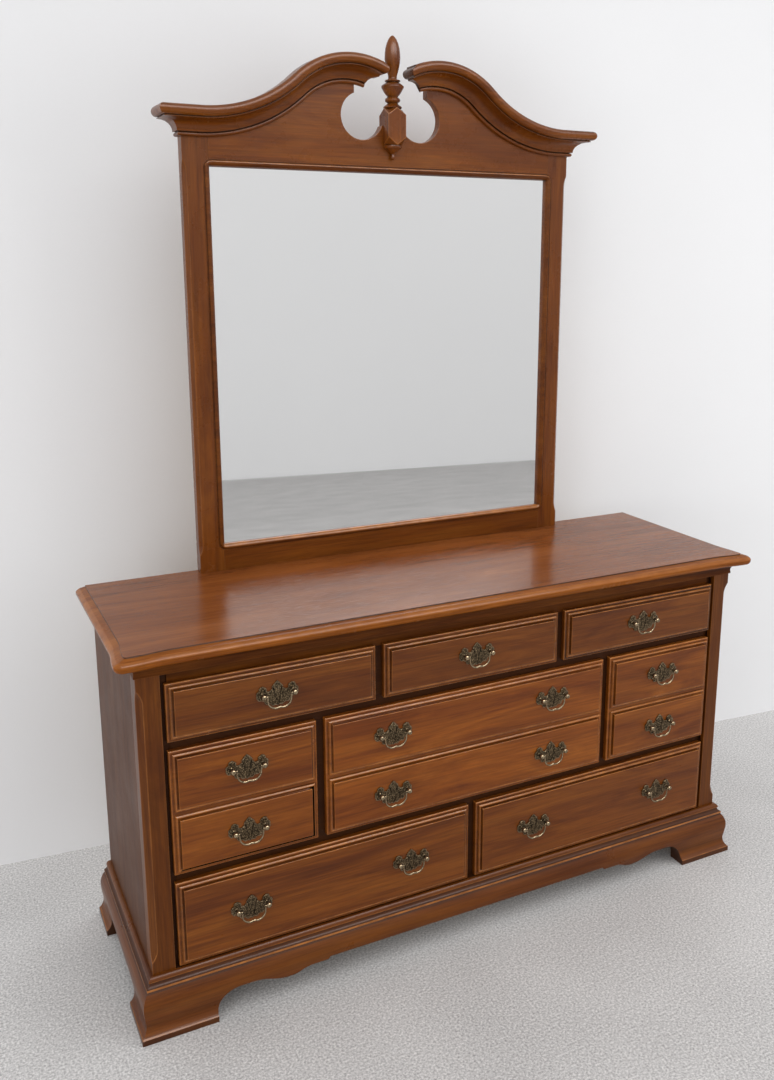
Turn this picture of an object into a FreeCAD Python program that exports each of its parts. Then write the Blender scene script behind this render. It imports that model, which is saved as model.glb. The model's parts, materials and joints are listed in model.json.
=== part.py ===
"""A long dresser with eight drawers and a mirror with a broken swan-neck pediment.

X runs along the front, -Y is the front, Z is up, in millimetres. The origin lies on the floor under the
middle of the whole piece. Every driving size is a cell of the sheet named Sizes.
"""
import FreeCAD, Part
import math
import os
import re
import Sketcher

doc = FreeCAD.newDocument("DressingTable")
sheet = doc.addObject("Spreadsheet::Sheet", "Sizes")

# Driving sizes, in millimetres and degrees
driving = {
    # Case and top
    "case_width": 1454, "case_depth": 446, "top_height": 812, "top_thickness": 26, "field_rise": 2.5,
    "field_margin": 21, "field_corner": 7, "top_side_overhang": 34, "top_front_overhang": 33, "top_flare": 7,
    "flare_length": 85, "top_corner_radius": 17, "nosing_radius": 10.5,
    "bed_height": 27, "bed_projection": 16, "bed_lip": 3, "bed_band": 5, "bed_cap": 4, "bed_quirk": 2,
    "bed_cove_radius": 14,
    # Posts, panels and frames
    "post_width": 46, "post_depth": 46, "post_chamfer": 12, "post_tongue": 30, "post_chamfer_margin": 25,
    "panel_thickness": 18, "back_thickness": 5, "rear_post_width": 30, "rear_rail_thickness": 20,
    "rear_rail_height": 34, "frame_setback": 12, "frame_depth": 44,
    # Base with ogee bracket feet
    "base_height": 128, "seat_height": 100, "base_ledge": 12, "toe_projection": 33.5, "toe_height": 6,
    "waist_projection": 27.4, "waist_height": 40, "cove_radius": 36, "ogee_projection": 27.7,
    "ogee_height": 100, "bulge_radius": 110, "base_step_projection": 24, "base_step_rise": 3,
    "base_step_height": 109, "base_step_radius": 8, "base_neck_projection": 19, "base_cap_projection": 14,
    "base_cap_height": 121, "base_lip_projection": 7, "base_cap_radius": 11,
    "foot_length": 154, "foot_straight": 11, "arch_radius": 50, "arch_flat": 26, "pendant_run": 83,
    "pendant_height": 44, "pendant_rise_run": 50, "apron_step_height": 56, "apron_step_length": 32,
    "apron_height": 62, "apron_step_radius": 8, "side_foot_length": 125, "rear_foot_length": 100,
    "side_arch_radius": 46, "side_foot_straight": 16, "bracket_thickness": 18, "bracket_length": 120,
    "bracket_radius": 60, "glue_block": 44, "glue_block_height": 88,
    # Drawer fronts; the three shares divide the height between the base and the frieze
    "drawer_foot_gap": 2, "bottom_row_share": 185, "middle_row_share": 265, "top_row_share": 120,
    "frieze_height": 48, "drawer_gap": 19, "drawer_side_gap": 8, "drawer_lap": 6, "centre_drawer_width": 704,
    "split_groove": 9, "front_thickness": 21.5, "lip_thickness": 12.5, "bead_height": 17.5, "band_width": 6.5,
    "bead_width": 6, "quirk_width": 2, "quirk_depth": 2, "bead_round": 2.2, "lip_round": 1.5, "front_clearance": 0.5,
    # Drawer boxes and runners
    "box_side": 12, "box_back": 12, "box_bottom": 5, "box_back_gap": 17.5, "box_clearance": 3,
    "box_headroom": 5, "runner_clearance": 0.3, "bottom_height": 8, "groove_depth": 5, "back_drop": 10,
    "runner_thickness": 16, "ledge_reach": 2, "guide_height": 12, "guide_clearance": 0.8,
    # Pulls
    "pull_boring": 64, "pull_rise": 5, "pull_inset": 150, "plate_thickness": 2, "plate_peak": 30,
    "plate_shoulder": 14, "plate_half_width": 43, "plate_wing": 18, "plate_notch": 4, "plate_drop": 20,
    "post_reach": 13, "post_stem": 3, "post_ball": 5, "bail_wire": 1.6, "bail_fit": 0.1, "bail_pin": 4,
    "bail_drop": 24, "bail_inset": 9, "bail_turn": 3, "bail_bow": 2,
    # Mirror frame
    "mirror_width": 976, "mirror_thickness": 30, "stile_width": 57, "bottom_rail_height": 61,
    "mirror_opening": 842, "sight_lap": 2, "rabbet_width": 12, "rabbet_depth": 20, "glass_thickness": 4,
    "backboard_thickness": 4, "glass_clearance": 1, "glass_bead_width": 13, "glass_bead_rise": 4,
    "glass_bead_radius": 20, "glass_bead_chamfer": 2.5, "stile_chamfer": 8, "stile_tongue": 26,
    "stile_chamfer_foot": 40, "stile_chamfer_head": 47,
    # Crest, crown moulding and finial
    "crest_thickness": 24, "crest_band": 56, "crest_drop": 4, "cut_radius": 52, "cut_offset": 73,
    "cut_height": 121, "cut_mouth_angle": 68, "neck_half_width": 24.5, "crown_height": 59,
    "crown_projection": 53, "pediment_rise": 131, "peak_offset": 112, "curve_run": 340, "scroll_radius": 200,
    "scroll_gap": 29, "crown_bead": 8, "crown_quirk": 2, "crown_corona": 21, "crown_fillet": 3,
    "crown_round": 7.5, "crown_soffit": 6,
    "finial_setback": 6, "finial_drop": 25, "finial_ball": 7.5, "finial_cone_length": 13, "finial_cone": 14,
    "finial_ring": 20, "finial_ring_height": 6, "finial_block": 42, "finial_block_length": 84,
    "finial_shoulder": 24, "finial_shoulder_radius": 17, "finial_collar": 15, "finial_collar_height": 5,
    "finial_waist": 12, "finial_waist_height": 7, "finial_bead": 18.7, "finial_bead_height": 9,
    "finial_knob": 26, "finial_knob_height": 36, "finial_neck": 9, "finial_neck_height": 6,
    "finial_flame": 18.6, "finial_flame_height": 90,
    # Mirror supports
    "support_width": 45, "support_thickness": 18, "support_drop": 400, "support_rise": 640,
}

# Sizes that follow from the driving ones
derived = {
    "half_width": "case_width / 2",
    "front_plane": "(top_front_overhang + top_flare - case_depth - support_thickness) / 2",
    "back_plane": "front_plane + case_depth",
    "top_underside": "top_height - top_thickness",
    "top_half": "half_width + top_side_overhang",
    "top_front": "front_plane - top_front_overhang",
    "flare_radius": "(flare_length ^ 2 + top_flare ^ 2) / (4 * top_flare)",
    "frame_front": "front_plane + frame_setback",
    "frame_back": "frame_front + frame_depth",
    "rear_front": "back_plane - back_thickness - rear_rail_thickness",
    "panel_inner": "half_width - panel_thickness",
    "post_inner": "half_width - post_width",
    "front_end": "post_inner - drawer_side_gap",
    "opening_end": "front_end - drawer_lap",
    "front_back": "frame_front - front_clearance",
    "front_face": "front_back - front_thickness",
    "box_length": "rear_front - box_back_gap - front_back",
    "drawer_bottom": "base_height + drawer_foot_gap",
    "row_space": "top_underside - frieze_height - drawer_bottom - 2 * drawer_gap",
    "row_unit": "row_space / (bottom_row_share + middle_row_share + top_row_share)",
    "bottom_row_height": "bottom_row_share * row_unit",
    "middle_row_height": "middle_row_share * row_unit",
    "top_row_height": "top_row_share * row_unit",
    "middle_bottom": "drawer_bottom + bottom_row_height + drawer_gap",
    "top_row_bottom": "middle_bottom + middle_row_height + drawer_gap",
    "top_row_top": "top_row_bottom + top_row_height",
    "third_width": "(2 * front_end - 2 * drawer_gap) / 3",
    "panel_edge": "band_width + bead_width + quirk_width",
    "mirror_half": "mirror_width / 2",
    "mirror_front": "back_plane - mirror_thickness",
    "stile_inner": "mirror_half - stile_width",
    "sight_bottom": "top_height + bottom_rail_height",
    "crest_bottom": "sight_bottom + mirror_opening",
    "rabbet_front": "back_plane - rabbet_depth",
    "crown_bottom": "crest_bottom + crest_band",
    "crown_top": "crown_bottom + crown_height",
    "peak_top": "crown_top + pediment_rise",
    "scroll_angle": "2 * atan(pediment_rise / curve_run)",
    "hollow_radius": "curve_run / sin(scroll_angle) - scroll_radius",
    "straight_start": "peak_offset + curve_run",
    "bend_x": "peak_offset + scroll_radius * sin(scroll_angle)",
    "bend_z": "peak_top - scroll_radius * (1 - cos(scroll_angle))",
    "crest_neck": "crest_bottom + cut_height - sqrt(cut_radius ^ 2 - (cut_offset - neck_half_width) ^ 2)",
    "finial_axis": "mirror_front - finial_setback",
    "finial_bottom": "crest_bottom + finial_drop",
    "block_bottom": "finial_bottom + 2 * finial_ball + finial_cone_length + finial_ring_height",
    "block_top": "block_bottom + finial_block_length",
    "plate_front": "front_face - plate_thickness",
    "bail_axis": "plate_front - post_reach",
}

for row, (name, content) in enumerate(list(driving.items()) + list(derived.items()), start=1):
    sheet.set("A%d" % row, name)
    sheet.set("B%d" % row, str(content) if name in driving else "=" + content)
    sheet.setAlias("B%d" % row, name)
doc.recompute()


def cells(formula):
    """The formula with each size's name turned into its cell."""
    return re.sub(r"[a-z_]+", lambda word: "Sizes." + word.group() if word.group() in driving
                  or word.group() in derived else word.group(), str(formula))


def value(formula):
    """What a formula comes to now."""
    result = sheet.evalExpression(cells(formula))
    return float(getattr(result, "Value", result))


def bind(thing, formulas):
    """Ties properties of an object to formulas on the sheet."""
    for name, formula in formulas.items():
        thing.setExpression(name, cells(formula))


def block(x, y, z):
    """A board between two places along each axis, each given as a pair of formulas."""
    board = doc.addObject("Part::Box", "Board")
    bind(board, {"Length": "(%s) - (%s)" % (x[1], x[0]), "Width": "(%s) - (%s)" % (y[1], y[0]),
                 "Height": "(%s) - (%s)" % (z[1], z[0]), "Placement.Base.x": x[0], "Placement.Base.y": y[0],
                 "Placement.Base.z": z[0]})
    return board


def cut(base, tool):
    result = doc.addObject("Part::Cut", "Cut")
    result.Base = base
    result.Tool = tool
    return result


def common(base, tool):
    result = doc.addObject("Part::Common", "Common")
    result.Base = base
    result.Tool = tool
    return result


def mirrored(source):
    """The same piece on the other side of the middle."""
    twin = doc.addObject("Part::Mirroring", "Twin")
    twin.Source = source
    twin.Normal = (1, 0, 0)
    return twin


nodes = []


def node(label, pieces):
    """One named sub-part, made of one object or of several separate ones."""
    if not isinstance(pieces, list):
        piece = pieces
    else:
        piece = doc.addObject("Part::Compound", label)
        piece.Links = pieces
    piece.Label = label
    nodes.append(piece)
    return piece


def new_body():
    return doc.addObject("PartDesign::Body", "Body")


def attach(drawing, body, plane, offset, turn=None):
    """Puts a sketch on a body's own plane, moved by formulas and turned about the upright."""
    support = next(f for f in body.Origin.OriginFeatures if f.Role == plane)
    drawing.AttachmentSupport = (support, [""])
    drawing.MapMode = "FlatFace"
    if turn is not None:
        about_upright = FreeCAD.Rotation(FreeCAD.Vector(0, 1, 0), turn)
        drawing.AttachmentOffset = FreeCAD.Placement(FreeCAD.Vector(), about_upright)
    bind(drawing, {"AttachmentOffset.Base." + axis: formula for axis, formula in zip("xyz", offset)})


def arc_between(start, end, radius):
    """The short arc from start to end, turning left for a positive radius and right for a negative one."""
    chord = end - start
    half = chord.Length / 2
    height = math.sqrt(max(radius * radius - half * half, 0))
    side = FreeCAD.Vector(-chord.y, chord.x, 0).normalize() * math.copysign(height, radius)
    centre = (start + end) * 0.5 + side
    circle = Part.Circle(centre, FreeCAD.Vector(0, 0, 1), abs(radius))
    first, last = (start, end) if radius > 0 else (end, start)
    return Part.ArcOfCircle(circle, math.atan2(first.y - centre.y, first.x - centre.x),
                            math.atan2(last.y - centre.y, last.x - centre.x))


def outline(drawing, points, closed=True):
    """Draws one line of straight and round stretches through points, every corner tied to the sheet.

    A point is (x, y) or (x, y, turn, radius), where turn is 1 for a left-hand arc to the next point and -1
    for a right-hand one.
    """
    first = drawing.GeometryCount
    places = [FreeCAD.Vector(value(point[0]), value(point[1]), 0) for point in points]
    spans = len(points) if closed else len(points) - 1
    starts, ends, rules, formulas = [], [], [], []
    for index in range(spans):
        start, end = places[index], places[(index + 1) % len(points)]
        if len(points[index]) == 2:
            drawing.addGeometry(Part.LineSegment(start, end), False)
            starts.append((first + index, 1))
            ends.append((first + index, 2))
        else:
            turn, radius = points[index][2:]
            drawing.addGeometry(arc_between(start, end, turn * value(radius)), False)
            starts.append((first + index, 1 if turn > 0 else 2))
            ends.append((first + index, 2 if turn > 0 else 1))
            rules.append(Sketcher.Constraint("Radius", first + index, value(radius)))
            formulas.append(radius)
    corners = starts if closed else starts + [ends[-1]]
    for corner, point, place in zip(corners, points, places):
        rules.append(Sketcher.Constraint("DistanceX", -1, 1, *corner, place.x))
        rules.append(Sketcher.Constraint("DistanceY", -1, 1, *corner, place.y))
        formulas += point[:2]
    joins = [Sketcher.Constraint("Coincident", *ends[index], *starts[(index + 1) % spans])
             for index in range(spans if closed else spans - 1)]
    numbers = drawing.addConstraint(rules + joins)
    for number, formula in zip(numbers, formulas):
        bind(drawing, {"Constraints[%d]" % number: formula})


def rectangle(drawing, x, y):
    outline(drawing, [(x[0], y[0]), (x[1], y[0]), (x[1], y[1]), (x[0], y[1])])


def sketch(body, plane, offset, *outlines, turn=None):
    """A sketch of closed outlines on one of the body's planes."""
    drawing = body.newObject("Sketcher::SketchObject", "Sketch")
    attach(drawing, body, plane, offset, turn)
    for points in outlines:
        outline(drawing, points)
    return drawing


def pad(body, profile, length, both=False, back=False):
    feature = body.newObject("PartDesign::Pad", "Pad")
    feature.Profile = profile
    feature.Midplane = both
    feature.Reversed = back
    bind(feature, {"Length": length})
    return feature


def pocket(body, profile, length, both=True, back=False):
    feature = body.newObject("PartDesign::Pocket", "Pocket")
    feature.Profile = profile
    feature.Midplane = both
    feature.Reversed = back
    bind(feature, {"Length": length})
    return feature


def round_edges(body, kind, base, size, wanted):
    """Rounds or chamfers the edges of a feature that pass a test."""
    doc.recompute([base])
    names = ["Edge%d" % number for number, edge in enumerate(base.Shape.Edges, start=1) if wanted(edge)]
    feature = body.newObject("PartDesign::" + kind, kind)
    feature.Base = (base, names)
    bind(feature, {"Radius" if kind == "Fillet" else "Size": size})
    return feature


def flat(edge, axis, formula):
    """True where the whole edge lies at one place along an axis."""
    low = getattr(edge.BoundBox, axis + "Min")
    high = getattr(edge.BoundBox, axis + "Max")
    return abs(low - value(formula)) < 0.01 and abs(high - value(formula)) < 0.01


def flipped(profile):
    """A profile drawn the other way round, for a plane whose first axis points inwards."""
    return [point[:2] + ((-point[2], point[3]) if len(point) > 2 else ()) for point in profile]


# Top board: a slab with a bullnose edge, its front corners flared, and a raised field
def top_plan(inset, corner):
    """The top's outline in plan, stepped in by a margin at the front and the sides."""
    side = "(top_half - (%s))" % inset
    tip = "(top_half + top_flare - (%s))" % inset
    front = "(top_front + (%s))" % inset
    nose = "(top_front - top_flare + (%s))" % inset
    bend = ("flare_radius",)
    right = [(side, "%s + %s + flare_length" % (nose, corner)),
             ("(%s + %s) / 2" % (side, tip), "%s + %s + flare_length / 2" % (nose, corner)),
             (tip, "%s + %s" % (nose, corner)), ("%s - %s" % (tip, corner), nose),
             ("%s - %s - flare_length / 2" % (tip, corner), "(%s + %s) / 2" % (nose, front)),
             ("%s - %s - flare_length" % (tip, corner), front)]
    left = [("-(%s)" % x, y) for x, y in right]
    turns = [(-1,) + bend, (1,) + bend, (1, corner), (1,) + bend, (-1,) + bend, ()]
    return ([(side, "back_plane"), ("-" + side, "back_plane")]
            + [point + turn for point, turn in zip(left, turns)]
            + [point + turn for point, turn in zip(reversed(right), turns)])


def top_board():
    body = new_body()
    whole = sketch(body, "XY_Plane", ("0", "0", "top_underside"), top_plan("0", "top_corner_radius"))
    slab = pad(body, whole, "top_thickness - field_rise")
    round_edges(body, "Fillet", slab, "nosing_radius",
                lambda edge: edge.BoundBox.ZLength < 0.01 and not flat(edge, "Y", "back_plane"))
    inner = top_plan("field_margin", "field_corner")
    pad(body, sketch(body, "XY_Plane", ("0", "0", "top_height - field_rise"), inner), "field_rise")
    node("top_board", body)


# Mouldings that run along the front and return along the sides, mitred at the corners
def front_run(profile, inner, outer):
    """A moulding along the front, from mitre to mitre. The profile gives projection and height."""
    body = new_body()
    drawing = sketch(body, "YZ_Plane", ("0", "0", "0"),
                     [("front_plane - (%s)" % point[0],) + point[1:] for point in flipped(profile)])
    pad(body, drawing, "2 * (half_width + (%s))" % outer, both=True)
    reach = "(%s + 1)" % outer
    for sign in ("", "-"):
        pocket(body, sketch(body, "XY_Plane", ("0", "0", "0"), [
            (sign + "(half_width - (%s))" % inner, "front_plane + (%s)" % inner),
            (sign + "(half_width + %s)" % reach, "front_plane - %s" % reach),
            (sign + "(half_width + %s)" % reach, "front_plane + (%s)" % inner)]), "3 * top_height")
    return body


def side_run(profile, inner, outer):
    """The same moulding along the right-hand side, from its mitre to the back."""
    body = new_body()
    drawing = sketch(body, "XZ_Plane", ("0", "0", "-back_plane"),
                     [("half_width + (%s)" % point[0],) + point[1:] for point in profile])
    pad(body, drawing, "case_depth + (%s)" % outer)
    reach = "(%s + 1)" % outer
    pocket(body, sketch(body, "XY_Plane", ("0", "0", "0"), [
        ("half_width - (%s)" % inner, "front_plane + (%s)" % inner),
        ("half_width - (%s)" % inner, "front_plane - %s" % reach),
        ("half_width + %s" % reach, "front_plane - %s" % reach)]), "3 * top_height")
    return body


def bed_moulding():
    low = "top_underside - bed_height"
    profile = [("0", low), ("bed_lip", low), ("bed_lip", low + " + bed_band", -1, "bed_cove_radius"),
               ("bed_projection - bed_quirk", "top_underside - bed_cap"),
               ("bed_projection", "top_underside - bed_cap"), ("bed_projection", "top_underside"),
               ("0", "top_underside")]
    side = side_run(profile, "0", "bed_projection")
    node("bed_moulding", [front_run(profile, "0", "bed_projection"), side, mirrored(side)])


# Corner posts and mirror stiles share the stopped chamfer that dies out in a lamb's tongue at each end
def stopped_chamfer(body, corner, width, tongue, low, high):
    """Cuts a chamfer of a width on the outer front arris between two heights."""
    depth = "(%s / sqrt(2))" % width
    radius = "((%s ^ 2 + %s ^ 2) / (2 * %s))" % (tongue, depth, depth)
    profile = [("0", low, -1, radius), ("-" + depth, "%s + %s" % (low, tongue)),
               ("-" + depth, "%s - %s" % (high, tongue), -1, radius), ("0", high), (width, high),
               (width, low)]
    drawing = sketch(body, "XZ_Plane", (corner[0], "0", "-(%s)" % corner[1]), profile, turn=-45)
    pocket(body, drawing, "6 * %s" % width)


def front_posts():
    body = new_body()
    drawing = sketch(body, "XY_Plane", ("0", "0", "seat_height"))
    rectangle(drawing, ("post_inner", "half_width"), ("front_plane", "front_plane + post_depth"))
    pad(body, drawing, "top_underside - seat_height")
    stopped_chamfer(body, ("half_width", "front_plane"), "post_chamfer", "post_tongue",
                    "(base_height + post_chamfer_margin)",
                    "(top_underside - bed_height - post_chamfer_margin)")
    node("front_posts", [body, mirrored(body)])


# Flat carcase boards
def carcase():
    side = block(("panel_inner", "half_width"), ("front_plane + post_depth", "back_plane"),
                 ("seat_height", "top_underside"))
    node("side_panels", [side, mirrored(side)])
    node("back_panel", block(("-panel_inner", "panel_inner"), ("back_plane - back_thickness", "back_plane"),
                             ("seat_height", "top_underside")))
    rear_inner = "(panel_inner - rear_post_width)"
    rear_y = ("rear_front", "rear_front + rear_rail_thickness")
    post = block((rear_inner, "panel_inner"), rear_y, ("seat_height", "top_underside"))
    rails = [block(("-" + rear_inner, rear_inner), rear_y, (top + " - rear_rail_height", top))
             for top in ("drawer_bottom + drawer_lap", "middle_bottom + drawer_lap",
                         "top_row_bottom + drawer_lap", "top_underside")]
    node("rear_frame", [post, mirrored(post)] + rails)


# Drawers: name, left end, right end, bottom, top, and how many panels the front is faced as
half_centre = "(centre_drawer_width / 2)"
rows = {
    "top": ("top_row_bottom", "top_row_top"),
    "middle": ("middle_bottom", "(middle_bottom + middle_row_height)"),
    "bottom": ("drawer_bottom", "(drawer_bottom + bottom_row_height)"),
}
drawers = {
    "top_left": ("top", "-front_end", "(-front_end + third_width)", 1),
    "top_centre": ("top", "(-third_width / 2)", "(third_width / 2)", 1),
    "top_right": ("top", "(front_end - third_width)", "front_end", 1),
    "middle_left": ("middle", "-front_end", "(-%s - drawer_gap)" % half_centre, 2),
    "middle_centre": ("middle", "-" + half_centre, half_centre, 2),
    "middle_right": ("middle", "(%s + drawer_gap)" % half_centre, "front_end", 2),
    "bottom_left": ("bottom", "-front_end", "(-drawer_gap / 2)", 1),
    "bottom_right": ("bottom", "(drawer_gap / 2)", "front_end", 1),
}


def row_edges(row):
    """The ends of a row's drawer openings, from left to right."""
    edges = []
    for home, left, right, panels in drawers.values():
        if home == row:
            edges.append(("(%s + drawer_lap)" % left, "(%s - drawer_lap)" % right))
    return edges


def face_frame():
    depth = ("frame_front", "frame_back")
    boards = []
    for side in (("-post_inner", "-opening_end"), ("opening_end", "post_inner")):
        boards.append(block(side, depth, ("seat_height", "top_underside")))
    rail_x = ("-opening_end", "opening_end")
    for low, high in (("seat_height", "drawer_bottom + drawer_lap"),
                      ("drawer_bottom + bottom_row_height - drawer_lap", "middle_bottom + drawer_lap"),
                      ("middle_bottom + middle_row_height - drawer_lap", "top_row_bottom + drawer_lap"),
                      ("top_row_top - drawer_lap", "top_underside")):
        boards.append(block(rail_x, depth, (low, high)))
    for row, (low, high) in rows.items():
        edges = row_edges(row)
        for before, after in zip(edges, edges[1:]):
            span = (low + " + drawer_lap", high + " - drawer_lap")
            boards.append(block((before[1], after[0]), depth, span))
    strip = ("front_plane", "frame_front")
    for span in (("top_underside - bed_height", "top_underside"), ("seat_height", "base_height")):
        boards.append(block(("-post_inner", "post_inner"), strip, span))
    node("face_frame", boards)


def drawer_runners():
    """A ledge under each drawer side, with a guide strip on it that keeps the drawer straight."""
    boards = []
    run = ("frame_back", "rear_front")
    ledge = "(box_clearance + box_side + ledge_reach)"
    gap = "(box_clearance - guide_clearance)"
    for row, (low, high) in rows.items():
        level = "(%s + drawer_lap)" % low
        edges = row_edges(row)
        walls = [("-panel_inner", edges[0][0])]
        walls += [(before[1], after[0]) for before, after in zip(edges, edges[1:])]
        walls += [(edges[-1][1], "panel_inner")]
        for number, (left, right) in enumerate(walls):
            left_end = left if number == 0 else "%s - %s" % (left, ledge)
            right_end = right if number == len(walls) - 1 else "%s + %s" % (right, ledge)
            boards.append(block((left_end, right_end), run, (level + " - runner_thickness", level)))
            left_end = left if number == 0 else "%s - %s" % (left, gap)
            right_end = right if number == len(walls) - 1 else "%s + %s" % (right, gap)
            boards.append(block((left_end, right_end), run, (level, level + " + guide_height")))
    node("drawer_runners", boards)


# Base: ogee boards mitred at the front corners, cut to a shaped apron between the feet
def base_profile():
    return [("-base_ledge", "0"), ("toe_projection", "0"),
            ("toe_projection", "toe_height", -1, "cove_radius"),
            ("waist_projection", "waist_height", 1, "bulge_radius"), ("ogee_projection", "ogee_height"),
            ("base_step_projection", "ogee_height"),
            ("base_step_projection", "ogee_height + base_step_rise", 1, "base_step_radius"),
            ("base_neck_projection", "base_step_height"), ("base_cap_projection", "base_step_height"),
            ("base_cap_projection", "base_cap_height", 1, "base_cap_radius"),
            ("base_lip_projection", "base_height"), ("0", "base_height"), ("0", "seat_height"),
            ("-base_ledge", "seat_height")]


def ogee_radius(run, rise):
    """The radius of two equal arcs that join two levels over a run."""
    return "(((%s) ^ 2 + (%s) ^ 2) / (4 * (%s)))" % (run, rise, rise)


def base_front():
    body = front_run(base_profile(), "base_ledge", "toe_projection")
    foot = "(half_width + toe_projection - foot_length)"
    arch = "(foot_straight + arch_radius)"
    crown_in = "(%s - arch_radius - arch_flat)" % foot
    low_x = "(%s - pendant_run)" % crown_in
    step_x = "(%s - pendant_rise_run)" % low_x
    inner_x = "(%s - apron_step_length)" % step_x
    dip = "%s - pendant_height" % arch
    lift = "apron_step_height - pendant_height"
    down, up = ogee_radius("pendant_run", dip), ogee_radius("pendant_rise_run", lift)
    right = [(foot, "-toe_height"), (foot, "foot_straight", 1, "arch_radius"),
             ("%s - arch_radius" % foot, arch), (crown_in, arch, 1, down),
             ("(%s + %s) / 2" % (crown_in, low_x), "(%s + pendant_height) / 2" % arch, -1, down),
             (low_x, "pendant_height", -1, up),
             ("(%s + %s) / 2" % (low_x, step_x), "(pendant_height + apron_step_height) / 2", 1, up),
             (step_x, "apron_step_height"), (inner_x, "apron_step_height", -1, "apron_step_radius"),
             ("%s - (apron_height - apron_step_height)" % inner_x, "apron_height")]
    left = []
    for before, point in zip([None] + right, right):
        turn = before[2:] if before and len(before) > 2 else ()
        left.insert(0, ("-(%s)" % point[0], point[1]) + turn)
    pocket(body, sketch(body, "XZ_Plane", ("0", "0", "-front_plane"), right + left), "8 * toe_projection")
    node("base_front", body)


def base_sides():
    body = side_run(base_profile(), "base_ledge", "toe_projection")
    front = "(front_plane - toe_projection + side_foot_length)"
    rear = "(back_plane - rear_foot_length)"
    level = "(side_foot_straight + side_arch_radius)"
    pocket(body, sketch(body, "YZ_Plane", ("0", "0", "half_width"), [
        (front, "-toe_height"), (rear, "-toe_height"), (rear, "side_foot_straight", 1, "side_arch_radius"),
        ("%s - side_arch_radius" % rear, level),
        ("%s + side_arch_radius" % front, level, 1, "side_arch_radius"),
        (front, "side_foot_straight")]), "8 * toe_projection")
    node("base_sides", [body, mirrored(body)])


def base_inside():
    """Bracket boards behind the rear feet, and glue blocks in the four corners."""
    inner = "(half_width - base_ledge)"
    body = new_body()
    pad(body, sketch(body, "XZ_Plane", ("0", "0", "-back_plane"), [
        (inner, "0"), (inner, "seat_height"), ("%s - bracket_length" % inner, "seat_height"),
        ("%s - bracket_length" % inner, "bracket_radius + toe_height", -1, "bracket_radius"),
        ("%s - bracket_length + bracket_radius" % inner, "toe_height"),
        ("%s - bracket_length + bracket_radius" % inner, "0")]), "bracket_thickness")
    node("rear_feet", [body, mirrored(body)])
    blocks = []
    for corner, step in (("(front_plane + base_ledge)", "glue_block"),
                         ("(back_plane - bracket_thickness)", "-glue_block")):
        piece = new_body()
        pad(piece, sketch(piece, "XY_Plane", ("0", "0", "seat_height - glue_block_height"), [
            (inner, corner), (inner, "%s + %s" % (corner, step)), (inner + " - glue_block", corner)]),
            "glue_block_height")
        blocks += [piece, mirrored(piece)]
    node("glue_blocks", blocks)


# Drawer fronts: a board with a rounded lip, a bead round each panel, a quirk and a raised field
def drawer_panels(low, high, count):
    """The heights of the panels that a front is faced as, from the bottom up."""
    if count == 1:
        return [(low, high)]
    middle = "((%s + %s) / 2)" % (low, high)
    return [(low, "(%s - split_groove / 2 + band_width)" % middle),
            ("(%s + split_groove / 2 - band_width)" % middle, high)]


def drawer_front(name):
    row, left, right, count = drawers[name]
    low, high = rows[row]
    body = new_body()

    def panel(drawing, bottom, top, inset):
        rectangle(drawing, ("%s + %s" % (left, inset), "%s - %s" % (right, inset)),
                  ("%s + %s" % (bottom, inset), "%s - %s" % (top, inset)))

    board = sketch(body, "XZ_Plane", ("0", "0", "-front_back"))
    panel(board, low, high, "0")
    lip = pad(body, board, "lip_thickness")
    face = "front_back - lip_thickness"
    round_edges(body, "Chamfer", lip, "lip_round", lambda edge: flat(edge, "Y", face))
    beads = sketch(body, "XZ_Plane", ("0", "0", "-(%s)" % face))
    floors = sketch(body, "XZ_Plane", ("0", "0", "-(%s)" % face))
    fields = sketch(body, "XZ_Plane", ("0", "0", "-(%s)" % face))
    for bottom, top in drawer_panels(low, high, count):
        panel(beads, bottom, top, "band_width")
        panel(beads, bottom, top, "(band_width + bead_width)")
        panel(floors, bottom, top, "(band_width + bead_width / 2)")
        panel(fields, bottom, top, "panel_edge")
    ring = pad(body, beads, "bead_height - lip_thickness")
    round_edges(body, "Chamfer", ring, "bead_round", lambda edge: flat(edge, "Y", "front_back - bead_height"))
    pad(body, floors, "bead_height - quirk_depth - lip_thickness")
    pad(body, fields, "front_thickness - lip_thickness")
    node("front_" + name, body)


def drawer_box(name):
    """Two sides grooved for the bottom, a back that stands on it, and the bottom itself."""
    row, left, right, count = drawers[name]
    low, high = rows[row]
    outer = ("(%s + drawer_lap + box_clearance)" % left, "(%s - drawer_lap - box_clearance)" % right)
    inner = ("%s + box_side" % outer[0], "%s - box_side" % outer[1])
    floor = "(%s + drawer_lap + runner_clearance)" % low
    rim = "(%s - drawer_lap - box_headroom)" % high
    run = ("front_back", "front_back + box_length")
    groove = ("%s + bottom_height" % floor, "%s + bottom_height + box_bottom" % floor)
    bed = ("%s - groove_depth" % inner[0], "%s + groove_depth" % inner[1])
    sides = [cut(block((outer[0], inner[0]), run, (floor, rim)), block(bed, run, groove)),
             cut(block((inner[1], outer[1]), run, (floor, rim)), block(bed, run, groove))]
    back = block(inner, ("front_back + box_length - box_back", "front_back + box_length"),
                 (groove[1], "%s - back_drop" % rim))
    node("box_" + name, sides + [back, block(bed, run, groove)])


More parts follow.
